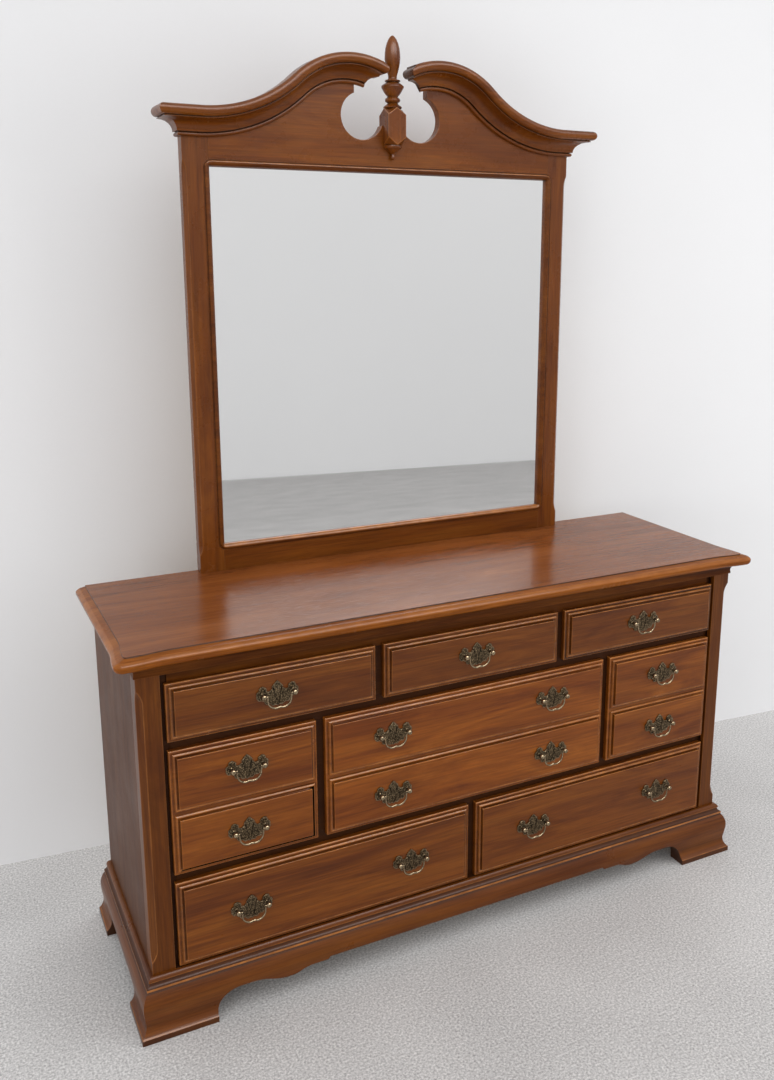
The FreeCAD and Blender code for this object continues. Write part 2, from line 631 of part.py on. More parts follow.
# Pulls: a bat-wing plate on two posts, with a bail that swings in the posts
def pull_places(name):
    """Where the pulls of a drawer sit: a suffix, and the middle of the post line across and up."""
    row, left, right, count = drawers[name]
    low, high = rows[row]
    middle = "((%s + %s) / 2)" % (left, right)
    levels = [("", "((%s + %s) / 2 + pull_rise)" % (low, high))]
    if count == 2:
        quarter = "((%s - %s - split_groove) / 4 + split_groove / 2)" % (high, low)
        centre = "((%s + %s) / 2)" % (low, high)
        levels = [("_upper", "(%s + %s + pull_rise)" % (centre, quarter)),
                  ("_lower", "(%s - %s + pull_rise)" % (centre, quarter))]
    columns = [("", middle)]
    if row == "bottom" or name == "middle_centre":
        columns = [("_left", "(%s + pull_inset)" % left), ("_right", "(%s - pull_inset)" % right)]
    return [(level + column, x, z) for level, z in levels for column, x in columns]


def octagon(drawing, x, y, radius):
    """An eight-sided outline with two sides level, round a centre."""
    half, corner = "%s * cos(22.5)" % radius, "%s * sin(22.5)" % radius
    spots = [(half, corner), (corner, half)]
    spots += [("-%s" % across, up) for across, up in reversed(spots)]
    spots += [("-(%s)" % across, "-(%s)" % up) for across, up in spots]
    outline(drawing, [("%s + %s" % (x, across), "%s + %s" % (y, up)) for across, up in spots])


def pull_plate(body, x, z):
    """The back plate: a peak between two wings above, and a shallow point below."""
    boring = "pull_boring / 2"
    right = [("plate_shoulder / 2", "plate_peak * 2 / 3"), ("plate_shoulder", "plate_peak / 2"),
             ("plate_shoulder + plate_notch", "plate_wing / 2"), (boring, "plate_wing"),
             (boring + " + plate_notch", "plate_wing / 2"), ("plate_half_width", "plate_notch"),
             ("plate_half_width - plate_notch", "-plate_drop / 3"), (boring, "-plate_drop / 2"),
             (boring + " - 2 * plate_notch", "-plate_drop / 2"),
             ("plate_shoulder / 2", "-plate_drop * 3 / 4")]
    left = [("-(%s)" % across, up) for across, up in reversed(right)]
    points = [("%s + %s" % (x, across), "%s + %s" % (z, up))
              for across, up in [("0", "plate_peak")] + right + [("0", "-plate_drop")] + left]
    pad(body, sketch(body, "XZ_Plane", ("0", "0", "-front_face"), points), "plate_thickness")


def pull(x, z):
    """A plate with two posts that swell to a knob, each bored on its inner side for the bail's pin."""
    body = new_body()
    pull_plate(body, x, z)
    knob_low, knob_high = "(bail_axis + post_ball)", "(bail_axis - post_ball)"
    for radius, low, high in (("post_stem", "plate_front", knob_low), ("post_ball", knob_low, knob_high)):
        drawing = sketch(body, "XZ_Plane", ("0", "0", "-(%s)" % low))
        for side in ("-", "+"):
            octagon(drawing, "%s %s pull_boring / 2" % (x, side), z, radius)
        knob = pad(body, drawing, "(%s) - (%s)" % (low, high))
    rim = value("0.9 * post_ball")
    posts = [FreeCAD.Vector(value("%s %s pull_boring / 2" % (x, side)), 0, value(z)) for side in "-+"]

    def on_knob(edge):
        middle = edge.CenterOfMass
        away = min(math.hypot(middle.x - post.x, middle.z - post.z) for post in posts)
        return away > rim and (flat(edge, "Y", knob_low) or flat(edge, "Y", knob_high))

    round_edges(body, "Chamfer", knob, "(post_ball - post_stem) * 3 / 4", on_knob)
    bore = sketch(body, "YZ_Plane", ("0", "0", x))
    octagon(bore, "bail_axis", z, "(bail_wire / cos(22.5) + bail_fit) / cos(22.5)")
    pocket(body, bore, "pull_boring")
    return body


def bail(name, x, z):
    """A wire loop: a pin in each post, arms that hang and turn in, and a bowed grip between them."""
    arm = "(pull_boring / 2 - post_ball - bail_pin)"
    inner, outer = "(%s - bail_wire)" % arm, "(%s + bail_wire)" % arm
    pin = "(pull_boring / 2 - 1)"
    right = [("0", "bail_bow - bail_drop - bail_wire"), (outer + " - bail_inset", "-bail_drop - bail_wire"),
             (outer + " - bail_turn", "bail_turn / 2 - bail_drop - bail_wire"),
             (outer, "bail_inset - bail_drop"), (outer, "-bail_wire"), (pin, "-bail_wire"),
             (pin, "bail_wire"), (inner + " + bail_turn", "bail_wire"), (inner, "bail_wire - bail_turn"),
             (inner, "bail_inset - bail_drop"),
             (inner + " - bail_turn", "bail_turn / 2 - bail_drop + bail_wire"),
             (inner + " - bail_inset + bail_wire", "bail_wire - bail_drop")]
    left = [("-(%s)" % across, up) for across, up in reversed(right[1:])]
    line = right + [("0", "bail_bow - bail_drop + bail_wire")] + left
    body = new_body()
    drawing = sketch(body, "XZ_Plane", ("0", "0", "-bail_axis"),
                     [("%s + %s" % (x, across), "%s + %s" % (z, up)) for across, up in line])
    loop = pad(body, drawing, "2 * bail_wire", both=True)
    faces = ("bail_axis - bail_wire", "bail_axis + bail_wire")
    round_edges(body, "Chamfer", loop, "(2 - sqrt(2)) * bail_wire",
                lambda edge: any(flat(edge, "Y", face) for face in faces))
    node("bail_" + name, body)


def pulls(name):
    pieces = []
    for suffix, x, z in pull_places(name):
        pieces.append(pull(x, z))
        bail(name + suffix, x, z)
    node("pulls_" + name, pieces if len(pieces) > 1 else pieces[0])


# Mirror: stiles with a stopped chamfer, a crest board, a bottom rail, the glass and what holds it
def mirror_frame():
    rabbet = ("sight_bottom - rabbet_width", "crest_bottom + rabbet_width")
    body = new_body()
    plan = sketch(body, "XY_Plane", ("0", "0", "top_height"))
    rectangle(plan, ("stile_inner", "mirror_half"), ("mirror_front", "back_plane"))
    pad(body, plan, "crown_top - crest_drop - top_height")
    stopped_chamfer(body, ("mirror_half", "mirror_front"), "stile_chamfer", "stile_tongue",
                    "(top_height + stile_chamfer_foot)", "(crown_bottom - stile_chamfer_head)")
    step = sketch(body, "XZ_Plane", ("0", "0", "-back_plane"))
    rectangle(step, ("stile_inner - 1", "stile_inner + rabbet_width"), rabbet)
    pocket(body, step, "rabbet_depth", both=False, back=True)
    node("mirror_stiles", [body, mirrored(body)])
    between = ("-stile_inner", "stile_inner")
    rail = block(between, ("mirror_front", "back_plane"), ("top_height", "sight_bottom"))
    slot = block(between, ("rabbet_front", "back_plane"), (rabbet[0], "sight_bottom"))
    node("mirror_bottom_rail", cut(rail, slot))
    pane = "(stile_inner + rabbet_width - glass_clearance)"
    pane_z = (rabbet[0] + " + glass_clearance", rabbet[1] + " - glass_clearance")
    glass_back = "(rabbet_front + glass_thickness)"
    node("mirror_glass", block(("-" + pane, pane), ("rabbet_front", glass_back), pane_z))
    backing = (glass_back, glass_back + " + backboard_thickness")
    node("mirror_backboard", block(("-" + pane, pane), backing, pane_z))


def glass_bead():
    """A bead round the glass: a face with rounded corners, and a lining down to the glass."""
    body = new_body()
    sight_x = "(stile_inner - sight_lap)"
    sight_z = ("(sight_bottom + sight_lap)", "(crest_bottom - sight_lap)")
    face = sketch(body, "XZ_Plane", ("0", "0", "-mirror_front"))
    rectangle(face, ("-" + sight_x, sight_x), sight_z)
    wide = "(stile_inner + glass_bead_width)"
    low, high = "(sight_bottom - glass_bead_width)", "(crest_bottom + glass_bead_width)"
    turn = "glass_bead_radius"
    outline(face, [("%s - %s" % (wide, turn), low, 1, turn), (wide, "%s + %s" % (low, turn)),
                   (wide, "%s - %s" % (high, turn), 1, turn), ("%s - %s" % (wide, turn), high),
                   ("-(%s - %s)" % (wide, turn), high, 1, turn), ("-" + wide, "%s - %s" % (high, turn)),
                   ("-" + wide, "%s + %s" % (low, turn), 1, turn), ("-(%s - %s)" % (wide, turn), low)])
    ring = pad(body, face, "glass_bead_rise")
    round_edges(body, "Chamfer", ring, "glass_bead_chamfer",
                lambda edge: flat(edge, "Y", "mirror_front - glass_bead_rise"))
    lining = sketch(body, "XZ_Plane", ("0", "0", "-mirror_front"))
    rectangle(lining, ("-" + sight_x, sight_x), sight_z)
    rectangle(lining, ("-stile_inner", "stile_inner"), ("sight_bottom", "crest_bottom"))
    pad(body, lining, "mirror_thickness - rabbet_depth", back=True)
    node("mirror_bead", body)


def crest_board():
    """The crest: its top follows the pediment, with a round opening each side of a neck for the finial."""
    body = new_body()
    drop = "crest_drop"
    peak = "(scroll_radius - %s)" % drop
    hollow = "(hollow_radius + %s)" % drop
    cut_z = "(crest_bottom + cut_height)"
    mouth_x = "(cut_offset + cut_radius * cos(cut_mouth_angle))"
    mouth_z = "(%s + cut_radius * sin(cut_mouth_angle))" % cut_z
    mouth_top = "(peak_top - scroll_radius + sqrt(%s ^ 2 - (peak_offset - %s) ^ 2))" % (peak, mouth_x)
    end_z = "(crown_top - %s)" % drop
    rise = "(%s + %s - sqrt(%s ^ 2 - (straight_start - stile_inner) ^ 2))" % (end_z, hollow, hollow)
    right = [("stile_inner", rise, -1, hollow),
             ("bend_x - %s * sin(scroll_angle)" % drop, "bend_z - %s * cos(scroll_angle)" % drop, 1, peak),
             (mouth_x, mouth_top), (mouth_x, mouth_z, -1, "cut_radius"),
             ("cut_offset + cut_radius", cut_z, -1, "cut_radius"),
             ("cut_offset", cut_z + " - cut_radius", -1, "cut_radius"), ("neck_half_width", "crest_neck")]
    left = []
    for before, point in zip([()] + right, right):
        left.insert(0, ("-(%s)" % point[0], point[1]) + before[2:])
    foot = [("-stile_inner", "crest_bottom"), ("stile_inner", "crest_bottom")]
    pad(body, sketch(body, "XZ_Plane", ("0", "0", "-(mirror_front + crest_thickness)"), right + left + foot),
        "crest_thickness")
    step = sketch(body, "XZ_Plane", ("0", "0", "-(mirror_front + crest_thickness)"))
    rectangle(step, ("-stile_inner", "stile_inner"), ("crest_bottom - 1", "crest_bottom + rabbet_width"))
    pocket(body, step, "crest_thickness - mirror_thickness + rabbet_depth", both=False, back=True)
    node("mirror_crest", body)


def hollow(start, end, steps):
    """Points along a quarter hollow between two corners, for a moulding with few faces."""
    wide, high = "(%s - (%s))" % (end[0], start[0]), "(%s - (%s))" % (end[1], start[1])
    return [("%s + %s * (1 - cos(%g))" % (start[0], wide, 90 * step / steps),
             "%s + %s * sin(%g)" % (start[1], high, 90 * step / steps)) for step in range(steps + 1)]


def crown_profile(level):
    """Projection and height of the crown moulding: a bead, a cove, a fillet and a rounded corona."""
    bead = "crown_bead"
    face, top = "crown_projection", "(%s + crown_height)" % level
    nose = "(crown_projection - crown_round)"
    soffit = "(%s - crown_corona)" % top
    cove_top = "(%s - crown_fillet)" % soffit
    cove_out = "(%s - crown_soffit)" % nose
    bead_top = level + " + crown_bead"
    cove_in = "crown_bead + crown_quirk"
    return ([("0", level), ("crown_bead * 3 / 4", level), (bead, level + " + crown_bead / 2"),
             ("crown_bead * 3 / 4", bead_top), (cove_in, bead_top)]
            + hollow((cove_in, bead_top + " + crown_quirk"), (cove_out, cove_top), 4)
            + [(cove_out + " + crown_quirk * 2", cove_top), (cove_out + " + crown_quirk * 2", soffit),
               (nose, soffit), (face, soffit + " + crown_round"), (face, top + " - crown_round"), (nose, top),
               ("0", top)])


def crown_mouldings():
    """Swan-neck crown: swept along two arcs, mitred to a return outside and sawn to its profile inside."""
    body = new_body()
    start = "(mirror_half + crown_projection + 2)"
    section = crown_profile("crown_bottom")
    profile = sketch(body, "YZ_Plane", ("0", "0", start),
                     [("mirror_front - (%s)" % across, up) for across, up in section])
    path = body.newObject("Sketcher::SketchObject", "Path")
    attach(path, body, "XZ_Plane", ("0", "0", "-mirror_front"))
    inner_x = "(scroll_gap - 15)"
    inner_z = "(peak_top - scroll_radius + sqrt(scroll_radius ^ 2 - (peak_offset - %s) ^ 2))" % inner_x
    outline(path, [(start, "crown_top"), ("straight_start", "crown_top", -1, "hollow_radius"),
                   ("bend_x", "bend_z", 1, "scroll_radius"), (inner_x, inner_z)], closed=False)
    sweep = body.newObject("PartDesign::AdditivePipe", "Sweep")
    sweep.Profile = profile
    sweep.Spine = (path, ["Edge1", "Edge2", "Edge3"])
    reach = "(crown_projection + 4)"
    pocket(body, sketch(body, "XY_Plane", ("0", "0", "0"), [
        ("mirror_half - 1", "mirror_front + 1"), ("mirror_half + " + reach, "mirror_front - " + reach),
        ("mirror_half + " + reach, "mirror_front + 1")]), "6 * top_height")
    tip_z = "(peak_top - scroll_radius + sqrt(scroll_radius ^ 2 - (peak_offset - scroll_gap) ^ 2))"
    ending = crown_profile("(%s - crown_height)" % tip_z)[:-1]
    sawn = [("scroll_gap + crown_projection - (%s)" % across, up) for across, up in ending]
    waste = "(scroll_gap - crown_height)"
    pocket(body, sketch(body, "XZ_Plane", ("0", "0", "-mirror_front"), sawn + [
        (waste, tip_z + " + crown_height"), (waste, tip_z + " - 2 * crown_height"),
        ("scroll_gap + crown_projection", tip_z + " - 2 * crown_height")]), "6 * crown_projection")
    side = new_body()
    pad(side, sketch(side, "XZ_Plane", ("0", "0", "-back_plane"),
                     [("mirror_half + (%s)" % across, up) for across, up in section]),
        "mirror_thickness + crown_projection")
    pocket(side, sketch(side, "XY_Plane", ("0", "0", "0"), [
        ("mirror_half - 1", "mirror_front + 1"), ("mirror_half - 1", "mirror_front - " + reach),
        ("mirror_half + " + reach, "mirror_front - " + reach)]), "6 * top_height")
    node("crown_mouldings", [body, mirrored(body), side, mirrored(side)])


def turned(points):
    """A turning with eight flat sides about the finial's axis, from radius and height."""
    left = [("-(%s)" % radius, level) for radius, level in reversed(points)]
    slabs = []
    for turn in (0, 45, 90, 135):
        upright = FreeCAD.Rotation(FreeCAD.Vector(1, 0, 0), 90)
        about = FreeCAD.Rotation(FreeCAD.Vector(0, 0, 1), turn)
        drawing = doc.addObject("Sketcher::SketchObject", "Turning")
        drawing.Placement = FreeCAD.Placement(FreeCAD.Vector(), about * upright)
        bind(drawing, {"Placement.Base.y": "finial_axis"})
        outline(drawing, points + left)
        slab = doc.addObject("Part::Extrusion", "Slab")
        slab.Base = drawing
        slab.DirMode = "Normal"
        slab.Symmetric = True
        slab.Solid = True
        bind(slab, {"LengthFwd": "4 * finial_knob"})
        slabs.append(slab)
    return common(common(slabs[0], slabs[1]), common(slabs[2], slabs[3]))


def finial():
    """A turned drop and urn with a flame, on a square block whose corners are turned down at its ends."""
    ring_low = "(finial_bottom + 2 * finial_ball + finial_cone_length)"
    low = turned([("finial_ball * 0.4", "finial_bottom"),
                  ("finial_ball", "finial_bottom + finial_ball * 0.8"),
                  ("finial_ball * 0.7", "finial_bottom + finial_ball * 1.7"), ("finial_cone", ring_low),
                  ("finial_ring", ring_low + " + finial_ring_height / 3"), ("finial_ring", "block_bottom")])
    collar_top = "(block_top + finial_collar_height)"
    bead_low = "(%s + finial_waist_height)" % collar_top
    bead_top = "(%s + finial_bead_height)" % bead_low
    knob_top = "(%s + finial_knob_height)" % bead_top
    flame = "(%s + finial_neck_height)" % knob_top
    high = turned([("finial_collar", "block_top"), ("finial_collar", collar_top), ("finial_waist", bead_low),
                   ("finial_bead", bead_low + " + finial_bead_height / 2"), ("finial_waist", bead_top),
                   ("finial_knob * 0.8", bead_top + " + finial_knob_height / 3"),
                   ("finial_knob", bead_top + " + finial_knob_height * 0.55"),
                   ("finial_knob * 0.6", knob_top), ("finial_neck", knob_top + " + finial_neck_height / 3"),
                   ("finial_neck", flame), ("finial_flame", flame + " + finial_flame_height / 2"),
                   ("finial_flame * 0.8", flame + " + finial_flame_height * 3 / 4"),
                   ("finial_flame * 0.4", flame + " + finial_flame_height * 0.95"),
                   ("finial_flame * 0.1", flame + " + finial_flame_height")])
    barrel = turned([("finial_ring", "block_bottom"),
                     ("finial_block * 0.75", "block_bottom + finial_shoulder / 2"),
                     ("finial_block * 0.75", "block_top - finial_shoulder"),
                     ("finial_shoulder_radius", "block_top")])
    half = "(finial_block / 2)"
    square = block(("-" + half, half), ("finial_axis - " + half, "finial_axis + " + half),
                   ("block_bottom", "block_top"))
    whole = doc.addObject("Part::MultiFuse", "Finial")
    whole.Shapes = [low, common(square, barrel), high]
    seat = block(("-finial_block", "finial_block"), ("mirror_front", "mirror_front + finial_block"),
                 ("finial_bottom - 1", "crest_neck"))
    node("finial", cut(whole, seat))


def mirror_supports():
    middle = "(stile_inner + stile_width / 2)"
    support = block(("%s - support_width / 2" % middle, "%s + support_width / 2" % middle),
                    ("back_plane", "back_plane + support_thickness"),
                    ("top_height - support_drop", "top_height + support_rise"))
    node("mirror_supports", [support, mirrored(support)])


top_board()
bed_moulding()
front_posts()
carcase()
face_frame()
drawer_runners()
base_front()
base_sides()
base_inside()
for drawer in drawers:
    drawer_front(drawer)
    drawer_box(drawer)
    pulls(drawer)
mirror_frame()
glass_bead()
crest_board()
crown_mouldings()
finial()
mirror_supports()
doc.recompute()

# Nothing is written unless every object came out whole
for thing in doc.Objects:
    if "Invalid" in thing.State or "Error" in thing.State:
        raise RuntimeError("%s (%s) failed: %s" % (thing.Label, thing.Name, thing.State))
for piece in nodes:
    if piece.Shape.isNull() or not piece.Shape.isValid() or not piece.Shape.Solids:
        raise RuntimeError("%s has no valid solid" % piece.Label)

os.makedirs("parts", exist_ok=True)
for piece in nodes:
    piece.Shape.exportStep("parts/%s.step" % piece.Label)
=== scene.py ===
import json
import math
import random

import bmesh
import bpy
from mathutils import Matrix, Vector

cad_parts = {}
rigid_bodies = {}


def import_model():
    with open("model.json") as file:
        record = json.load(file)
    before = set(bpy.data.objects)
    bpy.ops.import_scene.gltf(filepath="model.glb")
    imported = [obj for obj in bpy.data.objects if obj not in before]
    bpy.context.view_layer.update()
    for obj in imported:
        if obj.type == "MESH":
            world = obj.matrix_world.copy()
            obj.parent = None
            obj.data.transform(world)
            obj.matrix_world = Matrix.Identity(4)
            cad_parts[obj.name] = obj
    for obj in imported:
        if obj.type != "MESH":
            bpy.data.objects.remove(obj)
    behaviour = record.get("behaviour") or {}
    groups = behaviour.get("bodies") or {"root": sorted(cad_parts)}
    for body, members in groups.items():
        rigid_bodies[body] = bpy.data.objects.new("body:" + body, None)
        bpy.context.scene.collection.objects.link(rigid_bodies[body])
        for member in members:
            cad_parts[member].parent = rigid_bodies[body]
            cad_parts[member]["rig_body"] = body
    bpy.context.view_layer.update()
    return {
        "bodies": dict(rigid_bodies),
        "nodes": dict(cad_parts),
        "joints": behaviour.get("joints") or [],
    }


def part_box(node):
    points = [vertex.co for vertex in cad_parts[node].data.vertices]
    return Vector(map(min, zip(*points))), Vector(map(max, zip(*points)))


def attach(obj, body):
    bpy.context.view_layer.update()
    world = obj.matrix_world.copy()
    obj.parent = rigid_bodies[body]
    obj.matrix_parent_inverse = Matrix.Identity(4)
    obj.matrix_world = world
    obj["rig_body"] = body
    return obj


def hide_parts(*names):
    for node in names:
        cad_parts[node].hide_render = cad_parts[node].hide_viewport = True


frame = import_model()
scene = bpy.context.scene

# The base: boards of brown cherry worked to an ogee, mitred at the front corners and sawn to a shaped apron.
# Softwood brackets and glue blocks hold the rear feet and stay unpolished.
MM = 0.001
ACROSS, DEEP, UPRIGHT = range(3)
WELD_GAP = 0.01 * MM
FLAT_BEND = math.radians(1)
SHARP_BEND = math.radians(32)
BOARD_SHIFT = (7.13, 5.37, 9.71)
# A near-black brown that paints shade into recesses, hollows and gaps.
PAINTED_SHADE_TONE = (0.022, 0.0075, 0.003, 1)
# A light tan for the arrises: partly rubbed wear, partly painted highlight.
WORN_AND_HIGHLIGHT_TONE = (0.5, 0.185, 0.04, 1)
cherry_tones = ((0.1, 0.0225, 0.0016, 1), (0.153, 0.0395, 0.0028, 1), (0.206, 0.06, 0.0052, 1))
pine_tones = ((0.30, 0.185, 0.085, 1), (0.43, 0.285, 0.145, 1), (0.52, 0.37, 0.2, 1))


def add(tree, kind, inputs=None, **options):
    """One shader node, with its options set and its inputs filled or linked."""
    made = tree.nodes.new("ShaderNode" + kind)
    for name, option in options.items():
        setattr(made, name, option)
    for name, source in (inputs or {}).items():
        socket = made.inputs[name]
        if isinstance(source, bpy.types.NodeSocket):
            tree.links.new(source, socket)
        else:
            socket.default_value = source
    return made


def noise(tree, place, detail, scale=1.0, roughness=0.5, distortion=0.0):
    """A cloudy value over some coordinates."""
    return add(tree, "TexNoise", {"Vector": place, "Scale": scale, "Detail": detail, "Roughness": roughness,
                                  "Distortion": distortion}).outputs["Fac"]


def ranged(tree, value, before, after, clamp=True):
    """A value carried over from one range to another."""
    return add(tree, "MapRange", {"Value": value, "From Min": before[0], "From Max": before[1],
                                  "To Min": after[0], "To Max": after[1]}, clamp=clamp).outputs[0]


def reckoned(tree, operation, *terms, clamp=False):
    """A sum worked on two or three values."""
    return add(tree, "Math", dict(enumerate(terms)), operation=operation, use_clamp=clamp).outputs[0]


def mixed(tree, share, under, over, blend="MIX"):
    """One colour laid over another."""
    return add(tree, "MixRGB", {"Fac": share, "Color1": under, "Color2": over}, blend_type=blend).outputs[0]


def ramped(tree, value, *stops):
    """A colour for a value, from stops that each give a place and a colour."""
    ramp = add(tree, "ValToRGB", {"Fac": value})
    elements = ramp.color_ramp.elements
    elements[0].position, elements[0].color = stops[0]
    elements[1].position, elements[1].color = stops[-1]
    for place, colour in stops[1:-1]:
        elements.new(place).color = colour
    return ramp.outputs["Color"]


def painted(tree, layer):
    """A value that a piece carries on its faces."""
    return add(tree, "Attribute", attribute_name=layer).outputs["Fac"]


def opened(name):
    """A new material, its tree of nodes and its main shader."""
    material = bpy.data.materials.new(name)
    material.use_nodes = True
    return material, material.node_tree, material.node_tree.nodes["Principled BSDF"]


def fibre_place(tree, grain, along, across):
    """Object coordinates stretched along the fibres, shifted so that no two boards repeat."""
    place = add(tree, "TexCoord")
    shift = add(tree, "VectorMath", {0: BOARD_SHIFT, "Scale": painted(tree, "board")}, operation="SCALE")
    moved = add(tree, "VectorMath", {0: place.outputs["Object"], 1: shift.outputs[0]}, operation="ADD")
    stretch = [across] * 3
    stretch[grain] = along
    return add(tree, "Mapping", {"Vector": moved.outputs[0], "Scale": stretch}).outputs["Vector"]


def lacquered_wood(name, grain, tones, polish, shine, figure=1.0, occlusion_shade=0.85):
    """Wood under lacquer: soft figure, fine pores, tinted boards, arrises rubbed lighter with painted
    highlight, and painted shade in the recesses.
    """
    material, tree, shader = opened(name)
    link = tree.links.new
    place = add(tree, "TexCoord").outputs["Object"]
    rim = painted(tree, "rim")

    broad = noise(tree, fibre_place(tree, grain, along=1.9, across=15), detail=5.0, roughness=0.66,
                  distortion=1.1 * figure)
    fine = noise(tree, fibre_place(tree, grain, along=7, across=260), detail=3.0, roughness=0.62)
    pores = noise(tree, fibre_place(tree, grain, along=32, across=1150), detail=1.0)
    figured = ramped(tree, broad, (0.33, tones[0]), (0.5, tones[1]), (0.68, tones[2]))
    streak = ranged(tree, fine, (0.3, 0.7), (0.7, 1.16))
    streaked = mixed(tree, 1.0, figured, streak, "MULTIPLY")
    pore = ranged(tree, pores, (0.6, 0.72), (0.0, 0.5))
    pored = mixed(tree, pore, streaked, tones[0])
    tint = ranged(tree, painted(tree, "tint"), (0.0, 1.0), (0.8, 1.22), clamp=False)
    toned = add(tree, "HueSaturation", {"Color": pored, "Value": tint}).outputs[0]

    # Patchy noise spreads the lighter arrises unevenly: partly rubbed wear, partly painted highlight.
    patchy = noise(tree, place, detail=4.0, scale=34.0)
    rubbed = ranged(tree, patchy, (0.4, 0.66), (0.45, 0.95))
    brightened = reckoned(tree, "MULTIPLY", rim, rubbed)
    edged = mixed(tree, brightened, toned, WORN_AND_HIGHLIGHT_TONE)
    # An ambient occlusion node paints shade into the recesses of each piece, over the painted shade marks;
    # less of it is left on the lighter arrises.
    recess = add(tree, "AmbientOcclusion", {"Distance": 12 * MM}, samples=4, only_local=True).outputs["AO"]
    occlusion_darkening = ranged(tree, recess, (0.35, 0.88), (occlusion_shade, 0.0))
    dark = reckoned(tree, "MAXIMUM", painted(tree, "glaze"), occlusion_darkening)
    shade_kept = ranged(tree, rim, (0.0, 1.0), (1.0, 0.2))
    left = reckoned(tree, "MULTIPLY", dark, shade_kept)
    link(mixed(tree, left, edged, PAINTED_SHADE_TONE), shader.inputs["Base Color"])

    cloudy = noise(tree, place, detail=6.0, scale=9.0, roughness=0.65)
    rough = ranged(tree, cloudy, (0.3, 0.7), (polish - 0.03, polish + 0.05))
    link(reckoned(tree, "MULTIPLY_ADD", rim, -0.1, rough), shader.inputs["Roughness"])
    height = reckoned(tree, "SUBTRACT", fine, pore)
    bump = add(tree, "Bump", {"Height": height, "Strength": 0.22, "Distance": 0.4 * MM})
    link(bump.outputs[0], shader.inputs["Normal"])
    link(reckoned(tree, "MULTIPLY", rim, 0.5), shader.inputs["Coat Weight"])
    shader.inputs["Coat Roughness"].default_value = 0.2
    shader.inputs["Specular IOR Level"].default_value = shine
    return material


def deepened(tones, share):
    """The same tones with only a share of their light."""
    return [tuple(channel * share for channel in tone[:3]) + (1,) for tone in tones]


def open_marks(mesh):
    """Gives a mesh its two layers of marks: wear and painted highlight on rubbed, lit arrises, and painted
    shade where it is dark.
    """
    layers = mesh.faces.layers.float
    return layers.new("rim"), layers.new("glaze")


def number_boards(mesh, seed, tint):
    """Gives every separate board of a piece its own number between 0 and 1, and a tint."""
    layer = mesh.faces.layers.float.new("board")
    shade = mesh.faces.layers.float.new("tint")
    chance = random.Random(seed)
    seen = set()
    mesh.faces.ensure_lookup_table()
    for first in mesh.faces:
        if first in seen:
            continue
        number = chance.random()
        tone = chance.uniform(0.35, 0.65) if tint is None else tint
        group = [first]
        seen.add(first)
        while group:
            face = group.pop()
            face[layer] = number
            face[shade] = tone
            for edge in face.edges:
                for other in edge.link_faces:
                    if other not in seen:
                        seen.add(other)
                        group.append(other)


def ease_arrises(mesh, width, wear_and_highlight_share):
    """Rounds the sharp outer arrises and marks them with wear and painted highlight, strongest where they
    look upwards into the light.
    """
    rim = mesh.faces.layers.float.get("rim")
    arrises = [edge for edge in mesh.edges if edge.is_manifold and edge.is_convex
               and edge.calc_face_angle() > SHARP_BEND]
    eased = bmesh.ops.bevel(mesh, geom=arrises, offset=width, offset_type="OFFSET", segments=2, profile=0.6,
                            affect="EDGES", clamp_overlap=True)
    mesh.normal_update()
    for face in eased["faces"]:
        face[rim] = wear_and_highlight_share if face.normal.z > 0.2 else wear_and_highlight_share * 0.4


def smooth(data, bend):
    """Smooth shading that breaks at edges sharper than a bend in degrees."""
    for polygon in data.polygons:
        polygon.use_smooth = True
    data.set_sharp_from_angle(angle=math.radians(bend))


def placed_piece(name, mesh, finish, body, stands_for):
    """Turns a bmesh into a finished piece that rides on a body and stands for some solids."""
    piece = bpy.data.objects.new(name, bpy.data.meshes.new(name))
    mesh.to_mesh(piece.data)
    mesh.free()
    piece.data.materials.append(finish)
    smooth(piece.data, bend=40)
    scene.collection.objects.link(piece)
    weigh = piece.modifiers.new("Flat faces stay flat", "WEIGHTED_NORMAL")
    weigh.keep_sharp = True
    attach(piece, body)
    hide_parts(*stands_for)
    return piece


def dressed(node, ease, finish, marks=None, tint=None, wear_and_highlight_share=0.4, shape=None):
    """A copy of a solid with eased arrises.

    A function may work its shape, and another may give each face its marks of wear and painted highlight,
    and of painted shade.
    """
    source = frame["nodes"][node]
    mesh = bmesh.new()
    mesh.from_mesh(source.data)
    bmesh.ops.remove_doubles(mesh, verts=mesh.verts, dist=WELD_GAP)
    bmesh.ops.dissolve_limit(mesh, angle_limit=FLAT_BEND, verts=mesh.verts, edges=mesh.edges)
    rim, glaze = open_marks(mesh)
    if shape:
        shape(mesh)
    mesh.normal_update()
    if marks:
        for face in mesh.faces:
            face[rim], face[glaze] = marks(face.calc_center_median(), face.normal)
    ease_arrises(mesh, ease, wear_and_highlight_share)
    number_boards(mesh, node, tint)
    return placed_piece(node + "_dressed", mesh, finish, source["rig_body"], [node])


def second_finish(piece, finish, chosen):
    """Gives a second finish to the polygons that a test picks out."""
    piece.data.materials.append(finish)
    for polygon in piece.data.polygons:
        if chosen(polygon):
            polygon.material_index = 1


